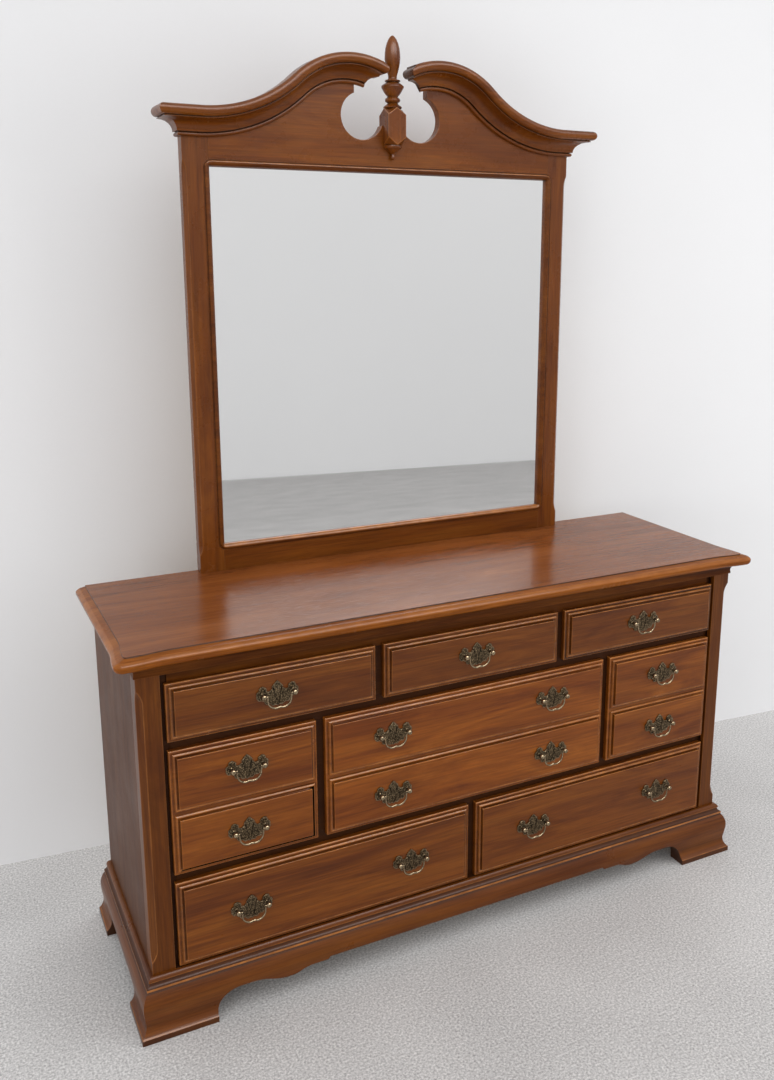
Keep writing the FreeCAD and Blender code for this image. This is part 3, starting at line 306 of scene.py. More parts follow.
deep_tones = deepened(cherry_tones, share=0.82)
base_across = lacquered_wood("base_lying_across", ACROSS, deep_tones, polish=0.29, shine=0.24)
base_deep = lacquered_wood("base_lying_deep", DEEP, deep_tones, polish=0.29, shine=0.24)
bare_pine = lacquered_wood("bare_pine", ACROSS, pine_tones, polish=0.66, shine=0.0, occlusion_shade=0.3)
SOLE_HEIGHT = 12
TOE_HEIGHT = 14
WAIST_HEIGHT = 36
WAIST_SPREAD = 11
SAWN_HEIGHT = 66
QUIRK_FOOT = 101
FILLET_FOOT = 104.3
FILLET_HEAD = 108.8
COVE_FOOT = 109
CAP_FOOT = 118.8
CAP_LIP = 121
FACE_DEPTH = 3 * MM
PROFILE_GAP = 0.02 * MM
PLANE_GAP = 0.05 * MM
base_line = [(0, 33.5), (SOLE_HEIGHT, 33.5), (13.5, 31.4), (16, 28.6), (19.5, 26.2), (24, 24.2), (29, 22.9),
             (35, 22.4), (42, 22.9), (50, 24.1), (58, 25.3), (66, 26.2), (73, 26.6), (80, 26.2), (86, 25),
             (91, 23.2), (95.5, 21), (99.5, 18.4), (103, 15.4), (FILLET_FOOT, 16.4), (FILLET_HEAD, 16.4),
             (110.2, 12.8), (112.3, 10.4), (115, 9), (117.8, 8.8), (CAP_FOOT, 10.4), (120.6, 10.6),
             (123.2, 9.8), (125.6, 8.2), (127.2, 6.2), (128, 4.6)]
base_low, base_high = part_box("base_front")
case_front = base_low.y + base_line[0][1] * MM
case_end = base_high.x - base_line[0][1] * MM


def base_reach(height):
    """How far the worked face of the base stands out from the case at a height."""
    for (low, near), (high, far) in zip(base_line, base_line[1:]):
        if height <= high * MM:
            return (near + (far - near) * (height / MM - low) / (high - low)) * MM
    return base_line[-1][1] * MM


def worked_base(mesh):
    """Runs the moulding planes along the boards: cap, cove, fillet and ogee, down to an upright sole."""
    levels = [height * MM for height, reach in base_line[1:-1]]
    for level in levels:
        bmesh.ops.bisect_plane(mesh, geom=mesh.verts[:] + mesh.edges[:] + mesh.faces[:], dist=PLANE_GAP,
                               plane_co=(0, 0, level), plane_no=(0, 0, 1))
    for vert in mesh.verts:
        reach = base_reach(vert.co.z)
        if case_front - vert.co.y > FACE_DEPTH:
            vert.co.y = case_front - reach
        if abs(vert.co.x) - case_end > FACE_DEPTH:
            vert.co.x = math.copysign(case_end + reach, vert.co.x)
    bmesh.ops.remove_doubles(mesh, verts=mesh.verts, dist=PROFILE_GAP)
    bmesh.ops.dissolve_degenerate(mesh, edges=mesh.edges, dist=PROFILE_GAP)


def base_marks(out):
    """Rubbed fillets and lips with painted highlight, and painted shade in the hollows, the waist, the sole
    and the sawn edges, for a board that faces out along one axis.
    """
    def marks(centre, normal):
        """Painted highlight and painted shade for one face, by its height and the way it looks."""
        height = centre.z / MM
        sawn = abs(normal[out]) < 0.2 and height < SAWN_HEIGHT
        lip = height < TOE_HEIGHT or CAP_FOOT < height < CAP_LIP
        hollow = COVE_FOOT < height < CAP_FOOT or QUIRK_FOOT < height < FILLET_FOOT
        if sawn:
            return 0.0, 0.8
        if height < SOLE_HEIGHT:
            return 0.0, 0.5
        if lip:
            return 0.38, 0.0
        if FILLET_FOOT < height < FILLET_HEAD:
            return 0.8, 0.0
        if abs(height - WAIST_HEIGHT) < WAIST_SPREAD:
            return 0.0, 0.32 - 0.028 * abs(height - WAIST_HEIGHT)
        return 0.0, (0.55 if hollow else 0.0)
    return marks


dressed("base_front", 0.6 * MM, base_across, base_marks(DEEP), wear_and_highlight_share=0.9, shape=worked_base)
dressed("base_sides", 0.6 * MM, base_deep, base_marks(ACROSS), wear_and_highlight_share=0.9, shape=worked_base)
dressed("rear_feet", 1.0 * MM, bare_pine)
dressed("glue_blocks", 1.0 * MM, bare_pine)

# The carcase: side panels of cherry veneer with upright grain, a thin board back, and pine frames and
# runners inside. The cherry face frame is toned darker as painted shade and shows as dark lines between the
# drawers.
side_tones = ((0.062, 0.020, 0.0075, 1), (0.092, 0.033, 0.0125, 1), (0.122, 0.047, 0.0185, 1))
side_veneer = lacquered_wood("side_veneer", UPRIGHT, side_tones, polish=0.38, shine=0.06, figure=0.6)
back_tones = ((0.20, 0.118, 0.058, 1), (0.27, 0.168, 0.088, 1), (0.33, 0.215, 0.12, 1))
back_board = lacquered_wood("back_board", UPRIGHT, back_tones, polish=0.7, shine=0.0, occlusion_shade=0.3)
frame_shade_tones = deepened(cherry_tones, share=0.6)
shaded_frame_cherry = lacquered_wood("shaded_frame_cherry", ACROSS, frame_shade_tones, polish=0.45, shine=0.1)
FRIEZE_HEIGHT = 50 * MM
frame_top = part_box("face_frame")[1].z


def frame_marks(centre, normal):
    """The rails and dividers between the drawers get painted shade, nearly black; the frieze above them does
    not.
    """
    return 0.0, (0.75 if centre.z < frame_top - FRIEZE_HEIGHT else 0.0)


dressed("side_panels", 1.0 * MM, side_veneer)
dressed("back_panel", 0.8 * MM, back_board)
dressed("rear_frame", 1.0 * MM, bare_pine)
dressed("face_frame", 0.8 * MM, shaded_frame_cherry, frame_marks, wear_and_highlight_share=0.0)
dressed("drawer_runners", 1.0 * MM, bare_pine)

# Two solid corner posts of upright cherry. Their outer arris is chamfered and dies out in a lamb's tongue
# above the base and below the top.
post_cherry = lacquered_wood("cherry_upright", UPRIGHT, deep_tones, polish=0.33, shine=0.2)
dressed("front_posts", 1.3 * MM, post_cherry, tint=0.05, wear_and_highlight_share=0.6)

# The top: a broad board of cherry with a bullnose edge, flared at the front corners, and a thin raised
# field. It is rubbed to a higher gloss than the case. A mitred bed moulding runs under it.
top_tones = ((0.14, 0.037, 0.007, 1), (0.186, 0.053, 0.0105, 1), (0.234, 0.072, 0.016, 1))
top_cherry = lacquered_wood("top_cherry", ACROSS, top_tones, polish=0.19, shine=0.22)
edge_tones = ((0.165, 0.042, 0.0045, 1), (0.23, 0.065, 0.0065, 1), (0.29, 0.092, 0.011, 1))
edge_cherry = lacquered_wood("edge_cherry", ACROSS, edge_tones, polish=0.24, shine=0.13)
FIELD_RISE = 2.5 * MM
FIELD_EDGE = 2.4 * MM
FIELD_MARGIN = 21 * MM
NOSE_RADIUS = 10.5 * MM
NOSE_FULLNESS = 1.7
LEVEL_GAP = 0.1 * MM
top_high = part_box("top_board")[1]
slab_level = top_high.z - FIELD_RISE


def thumb_edge(mesh):
    """Planes the upper half of the nosing to one long curve from the field's foot to the edge."""
    level_faces = [face for face in mesh.faces
                   if all(abs(vert.co.z - slab_level) < LEVEL_GAP for vert in face.verts)]
    bmesh.ops.triangulate(mesh, faces=level_faces)
    for vert in mesh.verts:
        fall = slab_level - vert.co.z
        foot = any(edge.other_vert(vert).co.z > slab_level + 1 * MM for edge in vert.link_edges)
        if foot or vert.co.z > slab_level + LEVEL_GAP or fall > NOSE_RADIUS:
            continue
        inset = NOSE_RADIUS - math.sqrt(max(0, 2 * NOSE_RADIUS * fall - fall ** 2))
        along = 1 - inset / FIELD_MARGIN
        vert.co.z = slab_level - NOSE_RADIUS * (1 - (1 - along ** NOSE_FULLNESS) ** (1 / NOSE_FULLNESS))


def top_marks(centre, normal):
    """Painted shade as a fine dark line where the raised field stands on the slab, and a little rubbing with
    painted highlight on the upward-facing nosing.
    """
    step = abs(normal.z) < 0.5 and centre.z > top_high.z - FIELD_EDGE and centre.y < top_high.y - 1 * MM
    nosing = centre.z < slab_level and 0.1 < normal.z < 0.93
    return (0.32 if nosing else 0.0), (0.85 if step else 0.0)


top = dressed("top_board", 0.45 * MM, top_cherry, top_marks, wear_and_highlight_share=0.2, shape=thumb_edge)
second_finish(top, edge_cherry, lambda polygon: polygon.center.z < top_high.z - FIELD_EDGE)
# The bed moulding takes the darker frame finish: painted shade under the top.
dressed("bed_moulding", 0.8 * MM, shaded_frame_cherry)

# Eight drawers. Each front is a thick cherry board with a bead, a quirk darkened with painted shade and a
# raised field. The middle three are faced as two. The boxes are of pale sealed wood with a thin bottom.
front_cherry = lacquered_wood("front_cherry", ACROSS, cherry_tones, polish=0.3, shine=0.27,
                              figure=1.3, occlusion_shade=0.6)
box_tones = ((0.36, 0.235, 0.118, 1), (0.48, 0.335, 0.185, 1), (0.56, 0.41, 0.245, 1))
box_deep = lacquered_wood("box_lying_deep", DEEP, box_tones, polish=0.5, shine=0.05, occlusion_shade=0.3)
box_across = lacquered_wood("box_lying_across", ACROSS, box_tones, polish=0.5, shine=0.05, occlusion_shade=0.3)
# Row tones: the top row darker, painted shade under the overhang of the top; the middle row lighter, and its
# centre front most, as painted light.
row_light_tints = {"top": 0.15, "middle": 1.0, "bottom": 0.45}
CENTRE_LIGHT_TINT = 1.4
QUIRK_FLOOR = 6 * MM
SPLIT_FLOOR = 9 * MM
SPLIT_HALF = 6 * MM
FLOOR_GAP = 0.4 * MM
drawer_names = [body[len("drawer_"):] for body in frame["bodies"] if body.startswith("drawer_")]


def front_marks(name):
    """Painted shade in the quirk and on the floor of the false split, and rubbed upward facets with painted
    highlight.
    """
    low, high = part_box("front_" + name)
    middle = (low.z + high.z) / 2

    def marks(centre, normal):
        """Painted highlight and painted shade for one face, by its depth and the way it looks."""
        depth = centre.y - low.y
        upward = normal.z > 0.25 and normal.y < -0.15
        split = abs(depth - SPLIT_FLOOR) < FLOOR_GAP and abs(centre.z - middle) < SPLIT_HALF
        if normal.y > -0.9:
            return (0.5 if upward else 0.0), 0.0
        if abs(depth - QUIRK_FLOOR) < FLOOR_GAP:
            return 0.0, 0.25
        return 0.0, (0.7 if split else 0.0)
    return marks


for name in drawer_names:
    tint = CENTRE_LIGHT_TINT if name == "middle_centre" else row_light_tints[name.split("_")[0]]
    dressed("front_" + name, 1.0 * MM, front_cherry, front_marks(name), tint, wear_and_highlight_share=1.0)
    box = dressed("box_" + name, 0.8 * MM, box_deep)
    second_finish(box, box_across, lambda polygon: abs(polygon.normal.y) > 0.9)

# Fifteen cast pulls in antiqued brass: a bat-wing plate with a raised rim and chased lines, two turned
# posts, and a bail that swings in them. Pins through the drawer front hold the posts.
PLATE_THICK = 2 * MM
HALF_BORING = 32 * MM
BOW_STEPS = 5
RIM_WIDTH = 1.5 * MM
DISH_SLOPE = 0.4 * MM
DISH_DEPTH = 0.6 * MM
RIM_SHINE = 0.55
BALL_REACH = 7 * MM
POST_TURNS = 20
plate_half = [((0, 25.5), 0.04), ((11.2, 13.6), 0.3), ((9.6, 10.6), -0.2), ((13.6, 8.6), -0.3),
              ((18.6, 5.4), -0.4), ((22.4, 10), 0.2), ((27, 15.4), 0.2), ((32.4, 17), 0.15),
              ((37.6, 13.2), -0.2), ((41.4, 7), 0.2), ((42.8, -1), 0.2), ((41.4, -8.4), 0.2),
              ((36.6, -12), -0.2), ((30.6, -13.6), -0.2), ((26, -18.6), 0.25), ((19, -21.6), -0.2),
              ((12.4, -24.6), 0.2), ((6, -25.4), -0.2), ((0, -27.8), 0)]
post_line = [(0.2, 0), (4.4, 0), (4.2, 0.6), (3.4, 1.2), (3.0, 2.1), (2.7, 3.2), (2.6, 5.2), (3.2, 7.0),
             (4.5, 8.4), (5.5, 10.4), (5.9, 12.8), (5.5, 15.3), (4.2, 17.2), (2.2, 18.1), (0.2, 18.3)]


def bowed(start, end, bow):
    """Points from start towards end along a shallow bow; a positive bow swells to the left."""
    run = end - start
    side = Vector((-run.y, run.x))
    shares = [step / BOW_STEPS for step in range(BOW_STEPS)]
    return [start + run * share + side * bow * math.sin(math.pi * share) for share in shares]


def plate_outline():
    """The outline of the bat-wing plate: its right half from the top down, then its left half back up."""
    right = []
    for (spot, bow), following in zip(plate_half, plate_half[1:]):
        right += bowed(Vector(spot), Vector(following[0]), bow)
    right.append(Vector(plate_half[-1][0]))
    left = [Vector((-spot.x, spot.y)) for spot in reversed(right[1:-1])]
    return [spot * MM for spot in right + left]


def lathe(mesh, profile, centre, axis, turns):
    """Turns a profile of radius and reach, in millimetres, about an axis through a centre."""
    aside = axis.orthogonal().normalized()
    across = axis.cross(aside)
    angles = [2 * math.pi * turn / turns for turn in range(turns)]
    rings = []
    for radius, reach in profile:
        rings.append([mesh.verts.new(centre + axis * (reach * MM)
                                     + (aside * math.cos(angle) + across * math.sin(angle)) * (radius * MM))
                      for angle in angles])
    for lower, upper in zip(rings, rings[1:]):
        for turn in range(turns):
            after = (turn + 1) % turns
            mesh.faces.new((lower[turn], lower[after], upper[after], upper[turn]))
    mesh.faces.new(reversed(rings[0]))
    mesh.faces.new(rings[-1])


def pull_mesh():
    """A plate and its two posts, drawn about the middle of the post line on the drawer's face."""
    mesh = bmesh.new()
    proud = mesh.faces.layers.float.new("proud")
    face = mesh.faces.new([mesh.verts.new((spot.x, -PLATE_THICK, spot.y)) for spot in plate_outline()])
    mesh.normal_update()
    if face.normal.y > 0:
        face.normal_flip()
    skirt = bmesh.ops.extrude_face_region(mesh, geom=[face])
    back = [piece for piece in skirt["geom"] if isinstance(piece, bmesh.types.BMFace)]
    for vert in {vert for piece in back for vert in piece.verts}:
        vert.co.y = 0
    front = next(piece for piece in mesh.faces
                 if all(abs(vert.co.y + PLATE_THICK) < WELD_GAP for vert in piece.verts))
    ring = bmesh.ops.inset_region(mesh, faces=[front], thickness=RIM_WIDTH, depth=0)["faces"]
    bmesh.ops.inset_region(mesh, faces=[front], thickness=DISH_SLOPE, depth=-DISH_DEPTH)
    bmesh.ops.recalc_face_normals(mesh, faces=mesh.faces)
    for side in (-1, 1):
        foot = Vector((side * HALF_BORING, -PLATE_THICK, 0))
        lathe(mesh, post_line, foot, Vector((0, -1, 0)), POST_TURNS)
    for face in mesh.faces:
        face[proud] = 1.0 if face.calc_center_median().y < -PLATE_THICK - BALL_REACH else 0.0
    for face in ring:
        face[proud] = RIM_SHINE
    return mesh


def antique_brass(name):
    """Brass toned dark and finely chased on the plates, rubbed bright on the posts and bails."""
    material, tree, shader = opened(name)
    link = tree.links.new
    place = add(tree, "TexCoord").outputs["Object"]
    proud = painted(tree, "proud")
    sway = add(tree, "TexNoise", {"Vector": place, "Scale": 130.0, "Detail": 3.0})
    swayed = add(tree, "VectorMath", {0: sway.outputs["Color"], "Scale": 6 * MM}, operation="SCALE")
    drawn = add(tree, "VectorMath", {0: place, 1: swayed.outputs[0]}, operation="ADD")
    cells = add(tree, "TexVoronoi", {"Vector": drawn.outputs[0], "Scale": 300.0}, feature="DISTANCE_TO_EDGE")
    cut = ranged(tree, cells.outputs["Distance"], (0.02, 0.24), (0.0, 1.0))
    tarnish = noise(tree, place, detail=4.0, scale=420.0)
    depth = reckoned(tree, "MULTIPLY", cut, tarnish)
    plate = ramped(tree, depth, (0.08, (0.034, 0.027, 0.017, 1)), (0.36, (0.148, 0.101, 0.058, 1)),
                   (0.62, (0.4, 0.295, 0.17, 1)))
    brightened = ramped(tree, tarnish, (0.3, (0.085, 0.062, 0.037, 1)), (0.62, (0.42, 0.32, 0.2, 1)))
    link(mixed(tree, proud, plate, brightened), shader.inputs["Base Color"])
    link(ranged(tree, proud, (0.0, 1.0), (0.46, 0.2)), shader.inputs["Roughness"])
    relief = reckoned(tree, "SUBTRACT", depth, proud, clamp=True)
    bump = add(tree, "Bump", {"Height": relief, "Strength": 0.6, "Distance": 0.5 * MM})
    link(bump.outputs[0], shader.inputs["Normal"])
    shader.inputs["Metallic"].default_value = 1.0
    return material


brass = antique_brass("antique_brass")
pull_template = bpy.data.objects.new("pull_template", bpy.data.meshes.new("pull_template"))
pattern = pull_mesh()
pattern.to_mesh(pull_template.data)
pattern.free()
bpy.context.view_layer.update()

pull_tree = bpy.data.node_groups.new("Pulls on a drawer", "GeometryNodeTree")
for title, way, kind in (("Places", "INPUT", "Geometry"), ("Pull", "INPUT", "Object"),
                         ("Brass", "INPUT", "Material"), ("Pulls", "OUTPUT", "Geometry")):
    pull_tree.interface.new_socket(title, in_out=way, socket_type="NodeSocket" + kind)
entry = pull_tree.nodes.new("NodeGroupInput")
leave = pull_tree.nodes.new("NodeGroupOutput")
pull_info = pull_tree.nodes.new("GeometryNodeObjectInfo")
on_places = pull_tree.nodes.new("GeometryNodeInstanceOnPoints")
realize = pull_tree.nodes.new("GeometryNodeRealizeInstances")
set_brass = pull_tree.nodes.new("GeometryNodeSetMaterial")
for start, end in ((entry.outputs["Places"], on_places.inputs["Points"]),
                   (entry.outputs["Pull"], pull_info.inputs["Object"]),
                   (pull_info.outputs["Geometry"], on_places.inputs["Instance"]),
                   (on_places.outputs["Instances"], realize.inputs["Geometry"]),
                   (realize.outputs["Geometry"], set_brass.inputs["Geometry"]),
                   (entry.outputs["Brass"], set_brass.inputs["Material"]),
                   (set_brass.outputs["Geometry"], leave.inputs["Pulls"])):
    pull_tree.links.new(start, end)
sockets = {item.name: item.identifier for item in pull_tree.interface.items_tree if item.in_out == "INPUT"}


def finished_mesh(source):
    """The mesh that an object comes to, once it is linked and worked out. The object itself is dropped."""
    scene.collection.objects.link(source)
    ready = source.evaluated_get(bpy.context.evaluated_depsgraph_get())
    done = bpy.data.meshes.new_from_object(ready)
    bpy.data.objects.remove(source)
    return done


for name in drawer_names:
    face_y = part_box("pulls_" + name)[1].y
    swings = [joint for joint in frame["joints"] if joint["parent"] == "drawer_" + name]
    spots = [(joint["pos_m"][0], face_y, joint["pos_m"][2]) for joint in swings]
    holder = bpy.data.objects.new("pull_places", bpy.data.meshes.new("pull_places"))
    holder.data.from_pydata(spots, [], [])
    spread = holder.modifiers.new("Pulls", "NODES")
    spread.node_group = pull_tree
    spread[sockets["Pull"]] = pull_template
    spread[sockets["Brass"]] = brass
    cast = bpy.data.objects.new("pulls_%s_cast" % name, finished_mesh(holder))
    smooth(cast.data, bend=35)
    scene.collection.objects.link(cast)
    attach(cast, "drawer_" + name)
    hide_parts("pulls_" + name)

WIRE_RADIUS = 1.75 * MM
COLLAR_PLACE = 25.2 * MM
COLLAR_TURNS = 14
collar_line = [(1.6, -1.3), (2.3, -0.8), (2.5, 0), (2.3, 0.8), (1.6, 1.3)]
bail_half = [(31, 0, 1.0), (27, 0, 1.0), (25, -0.8, 1.0), (24.6, -5, 0.95), (24.4, -12, 1.0),
             (22.6, -17.6, 1.05), (19.4, -21.8, 1.1), (14.8, -25, 1.2), (9.6, -26.8, 1.25),
             (5.6, -26.6, 1.25), (2.6, -25.6, 1.3), (0.8, -25.2, 1.4)]


def bail_mesh(pivot):
    """A drooping wire, thicker at the middle, with a collar inside each post."""
    wire = bpy.data.curves.new("bail_wire", "CURVE")
    wire.dimensions = "3D"
    wire.bevel_depth = WIRE_RADIUS
    wire.bevel_resolution = 3
    wire.resolution_u = 4
    wire.use_fill_caps = True
    line = wire.splines.new("NURBS")
    points = [(-x, z, thick) for x, z, thick in bail_half] + bail_half[::-1]
    line.points.add(len(points) - 1)
    for spot, (x, z, thick) in zip(line.points, points):
        spot.co = (pivot.x + x * MM, pivot.y, pivot.z + z * MM, 1)
        spot.radius = thick
    line.order_u = 4
    line.use_endpoint_u = True
    mesh = bmesh.new()
    mesh.from_mesh(finished_mesh(bpy.data.objects.new("bail_wire", wire)))
    for side in (-1, 1):
        middle = pivot + Vector((side * COLLAR_PLACE, 0, 0))
        lathe(mesh, collar_line, middle, Vector((1, 0, 0)), COLLAR_TURNS)
    proud = mesh.faces.layers.float.new("proud")
    for face in mesh.faces:
        face[proud] = 1.0
    return mesh


for joint in frame["joints"]:
    if joint["type"] == "hinge":
        bail = joint["child"]
        placed_piece(bail + "_cast", bail_mesh(Vector(joint["pos_m"])), brass, bail, [bail])

# The mirror frame: cherry stiles with a stopped chamfer, a bottom rail, and a moulded bead round the glass.
# The back is closed by a thin board, and two pine uprights screwed behind hold it to the case.
mirror_upright = lacquered_wood("mirror_upright", UPRIGHT, cherry_tones, polish=0.27, shine=0.3)
rail_cherry = lacquered_wood("cherry_lying_across", ACROSS, deep_tones, polish=0.33, shine=0.2)
pine_upright = lacquered_wood("pine_upright", UPRIGHT, pine_tones, polish=0.66, shine=0.0, occlusion_shade=0.3)
SIGHT_HALF = 429
SIGHT_LOW = 875
SIGHT_HIGH = 1713
BEAD_WIDTH = 15
BEAD_TURN = 20
LEAST_TURN = 0.5
TURN_STEPS = 6
bead_section = [(2, -10), (0, -10), (0, -4.5), (0.8, -2), (2.4, 0.6), (4.6, 2.5), (7, 3.6), (9, 3.8),
                (10.8, 3.1), (11.8, 1.8), (12.1, 0.2), (13.3, 0.2), (13.4, 0.8), (14.7, 0.8),
                (BEAD_WIDTH, 0), (2, 0)]


def bead_mesh():
    """A bead worked round the sight of the glass, with rounded corners, a quirk and a fillet."""
    mesh = bmesh.new()
    rim = open_marks(mesh)[0]
    face_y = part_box("mirror_stiles")[0].y
    rings = []
    for out, rise in bead_section:
        turn = max(LEAST_TURN, BEAD_TURN * out / BEAD_WIDTH)
        ring = []
        for quarter in range(4):
            side = 1 if quarter in (0, 3) else -1
            middle_x = side * (SIGHT_HALF + out - turn)
            middle_z = SIGHT_HIGH + out - turn if quarter < 2 else SIGHT_LOW - out + turn
            for step in range(TURN_STEPS + 1):
                angle = math.radians(90 * quarter + 90 * step / TURN_STEPS)
                ring.append(mesh.verts.new(((middle_x + turn * math.cos(angle)) * MM, face_y - rise * MM,
                                            (middle_z + turn * math.sin(angle)) * MM)))
        rings.append(ring)
    for ring, following in zip(rings, rings[1:] + rings[:1]):
        for step in range(len(ring)):
            after = (step + 1) % len(ring)
            mesh.faces.new((ring[step], ring[after], following[after], following[step]))
    bmesh.ops.recalc_face_normals(mesh, faces=mesh.faces)
    # Upward-facing faces of the bead get wear and painted highlight.
    for face in mesh.faces:
        if face.normal.z > 0.3 and face.normal.y < -0.1:
            face[rim] = 0.6
    number_boards(mesh, "bead", tint=0.5)
    return mesh


def silvered_glass(name):
    """Silvered plate glass with a faint bloom. Its reflection leans a few degrees upward."""
    material, tree, shader = opened(name)
    bloom = noise(tree, add(tree, "TexCoord").outputs["Object"], detail=5.0, scale=3.0)
    tree.links.new(ranged(tree, bloom, (0.35, 0.75), (0.004, 0.03)), shader.inputs["Roughness"])
    facing = add(tree, "NewGeometry")
    leaned = add(tree, "VectorMath", {0: facing.outputs["Normal"], 1: (0, 0, 0.085)}, operation="ADD")
    unit = add(tree, "VectorMath", {0: leaned.outputs[0]}, operation="NORMALIZE")
    tree.links.new(unit.outputs[0], shader.inputs["Normal"])
    shader.inputs["Base Color"].default_value = (0.95, 0.945, 0.935, 1)
    shader.inputs["Metallic"].default_value = 1.0
    return material


dressed("mirror_stiles", 1.2 * MM, mirror_upright)
dressed("mirror_bottom_rail", 1.0 * MM, rail_cherry)
placed_piece("mirror_bead_run", bead_mesh(), rail_cherry, "case", ["mirror_bead"])
dressed("mirror_backboard", 0.8 * MM, back_board)
dressed("mirror_supports", 1.5 * MM, pine_upright)
dressed("mirror_glass", 1.5 * MM, silvered_glass("silvered_glass"))

# The pediment: a crest board with a round opening each side, a swan-neck crown moulding on each half with a
# mitred return, and a turned finial with a flame on a square block.
mirror_across = lacquered_wood("mirror_across", ACROSS, cherry_tones, polish=0.27, shine=0.28)
dressed("mirror_crest", 1.2 * MM, mirror_across)
crest_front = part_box("mirror_crest")[0].y

CROWN_LEVEL = 1771
CROWN_HEIGHT = 59
CROWN_REACH = 53
MIRROR_HALF = 488
RETURN_DEPTH = 30
PEAK_OFFSET = 112
PEDIMENT_RISE = 131
CURVE_RUN = 340
CURVE_STEPS = 28
SCROLL_RADIUS = 200
SCROLL_GAP = 29
SAW_STEP = 0.002
bends = [math.radians(15 * step) for step in range(-6, 7)]
crown_bead = [(4.4 + 4.2 * math.cos(bend), 4.2 + 4.2 * math.sin(bend)) for bend in bends[::2]]
crown_cove = [(10 + 29.5 * (1 - math.cos(bend)), 10 + 24.2 * math.sin(bend)) for bend in bends[6:]]
crown_round = [(42.8 + 10.2 * math.cos(bend), 48.2 + 10.8 * math.sin(bend)) for bend in bends]
crown_section = ([(0, 0)] + crown_bead + [(4.4, 9.6), (10, 9.6)] + crown_cove
                 + [(42, 34.2), (42, 35.8), (39.8, 35.8), (39.8, 37.4)] + crown_round + [(0, CROWN_HEIGHT)])


def section_reach(up):
    """How far the crown stands out at a height, at its farthest."""
    if up >= CROWN_HEIGHT:
        return crown_round[-1][0]
    found = 0
    for (reach, level), (next_reach, next_level) in zip(crown_section, crown_section[1:]):
        if min(level, next_level) <= up <= max(level, next_level) and level != next_level:
            found = max(found, reach + (next_reach - reach) * (up - level) / (next_level - level))
    return found


def crown_lines():
    """One line for each point of the section: a return, a mitre, a hollow arc and a sawn-off scroll."""
    top_level = CROWN_LEVEL + CROWN_HEIGHT
    turn = 2 * math.atan2(PEDIMENT_RISE, CURVE_RUN)
    hollow = CURVE_RUN / math.sin(turn) - SCROLL_RADIUS
    scroll_z = top_level + PEDIMENT_RISE - SCROLL_RADIUS
    tip = scroll_z + math.sqrt(SCROLL_RADIUS ** 2 - (PEAK_OFFSET - SCROLL_GAP) ** 2)
    front = crest_front / MM

    def sawn_off(radius, angle):
        """Whether a point of the scroll lies beyond the sawn end, which repeats the section."""
        up = scroll_z + radius * math.cos(angle) - tip + CROWN_HEIGHT
        return PEAK_OFFSET + radius * math.sin(angle) <= SCROLL_GAP + CROWN_REACH - section_reach(up)

    lines = []
    for reach, up in crown_section:
        drop = CROWN_HEIGHT - up
        line = [(MIRROR_HALF + reach, front + RETURN_DEPTH, CROWN_LEVEL + up),
                (MIRROR_HALF + reach, front - reach, CROWN_LEVEL + up)]
        for step in range(CURVE_STEPS):
            angle = turn * step / CURVE_STEPS
            line.append((PEAK_OFFSET + CURVE_RUN - (hollow + drop) * math.sin(angle), front - reach,
                         top_level + hollow - (hollow + drop) * math.cos(angle)))
        radius = SCROLL_RADIUS - drop
        last = turn
        while not sawn_off(radius, last):
            last -= SAW_STEP
        for step in range(CURVE_STEPS + 1):
            angle = turn + (last - turn) * step / CURVE_STEPS
            line.append((PEAK_OFFSET + radius * math.sin(angle), front - reach,
                         scroll_z + radius * math.cos(angle)))
        lines.append(line)
    return lines


def crown_mesh():
    """Both halves of the crown, closed at the back of the returns and at the sawn ends."""
    mesh = bmesh.new()
    glaze = open_marks(mesh)[1]
    lines = crown_lines()
    for side in (-1, 1):
        rows = [[mesh.verts.new((side * x * MM, y * MM, z * MM)) for x, y, z in line] for line in lines]
        for row, following in zip(rows, rows[1:] + rows[:1]):
            for step in range(len(row) - 1):
                mesh.faces.new((row[step], row[step + 1], following[step + 1], following[step]))
        mesh.faces.new([row[0] for row in rows])
        ends = [row[-1] for row in rows]
        inner = [mesh.verts.new((end.co.x, crest_front, end.co.z)) for end in ends[1:-1]]
        flat = [ends[0]] + inner + [ends[-1]]
        for place in range(len(ends) - 1):
            corners = dict.fromkeys((ends[place], ends[place + 1], flat[place + 1], flat[place]))
            sawn = mesh.faces.new(corners)
            # The sawn end faces get painted shade.
            sawn[glaze] = 0.6
        mesh.faces.new(flat)
    bmesh.ops.recalc_face_normals(mesh, faces=mesh.faces)
    number_boards(mesh, "crown", tint=0.6)
    return mesh


placed_piece("crown_run", crown_mesh(), mirror_across, "case",
             ["crown_mouldings"])

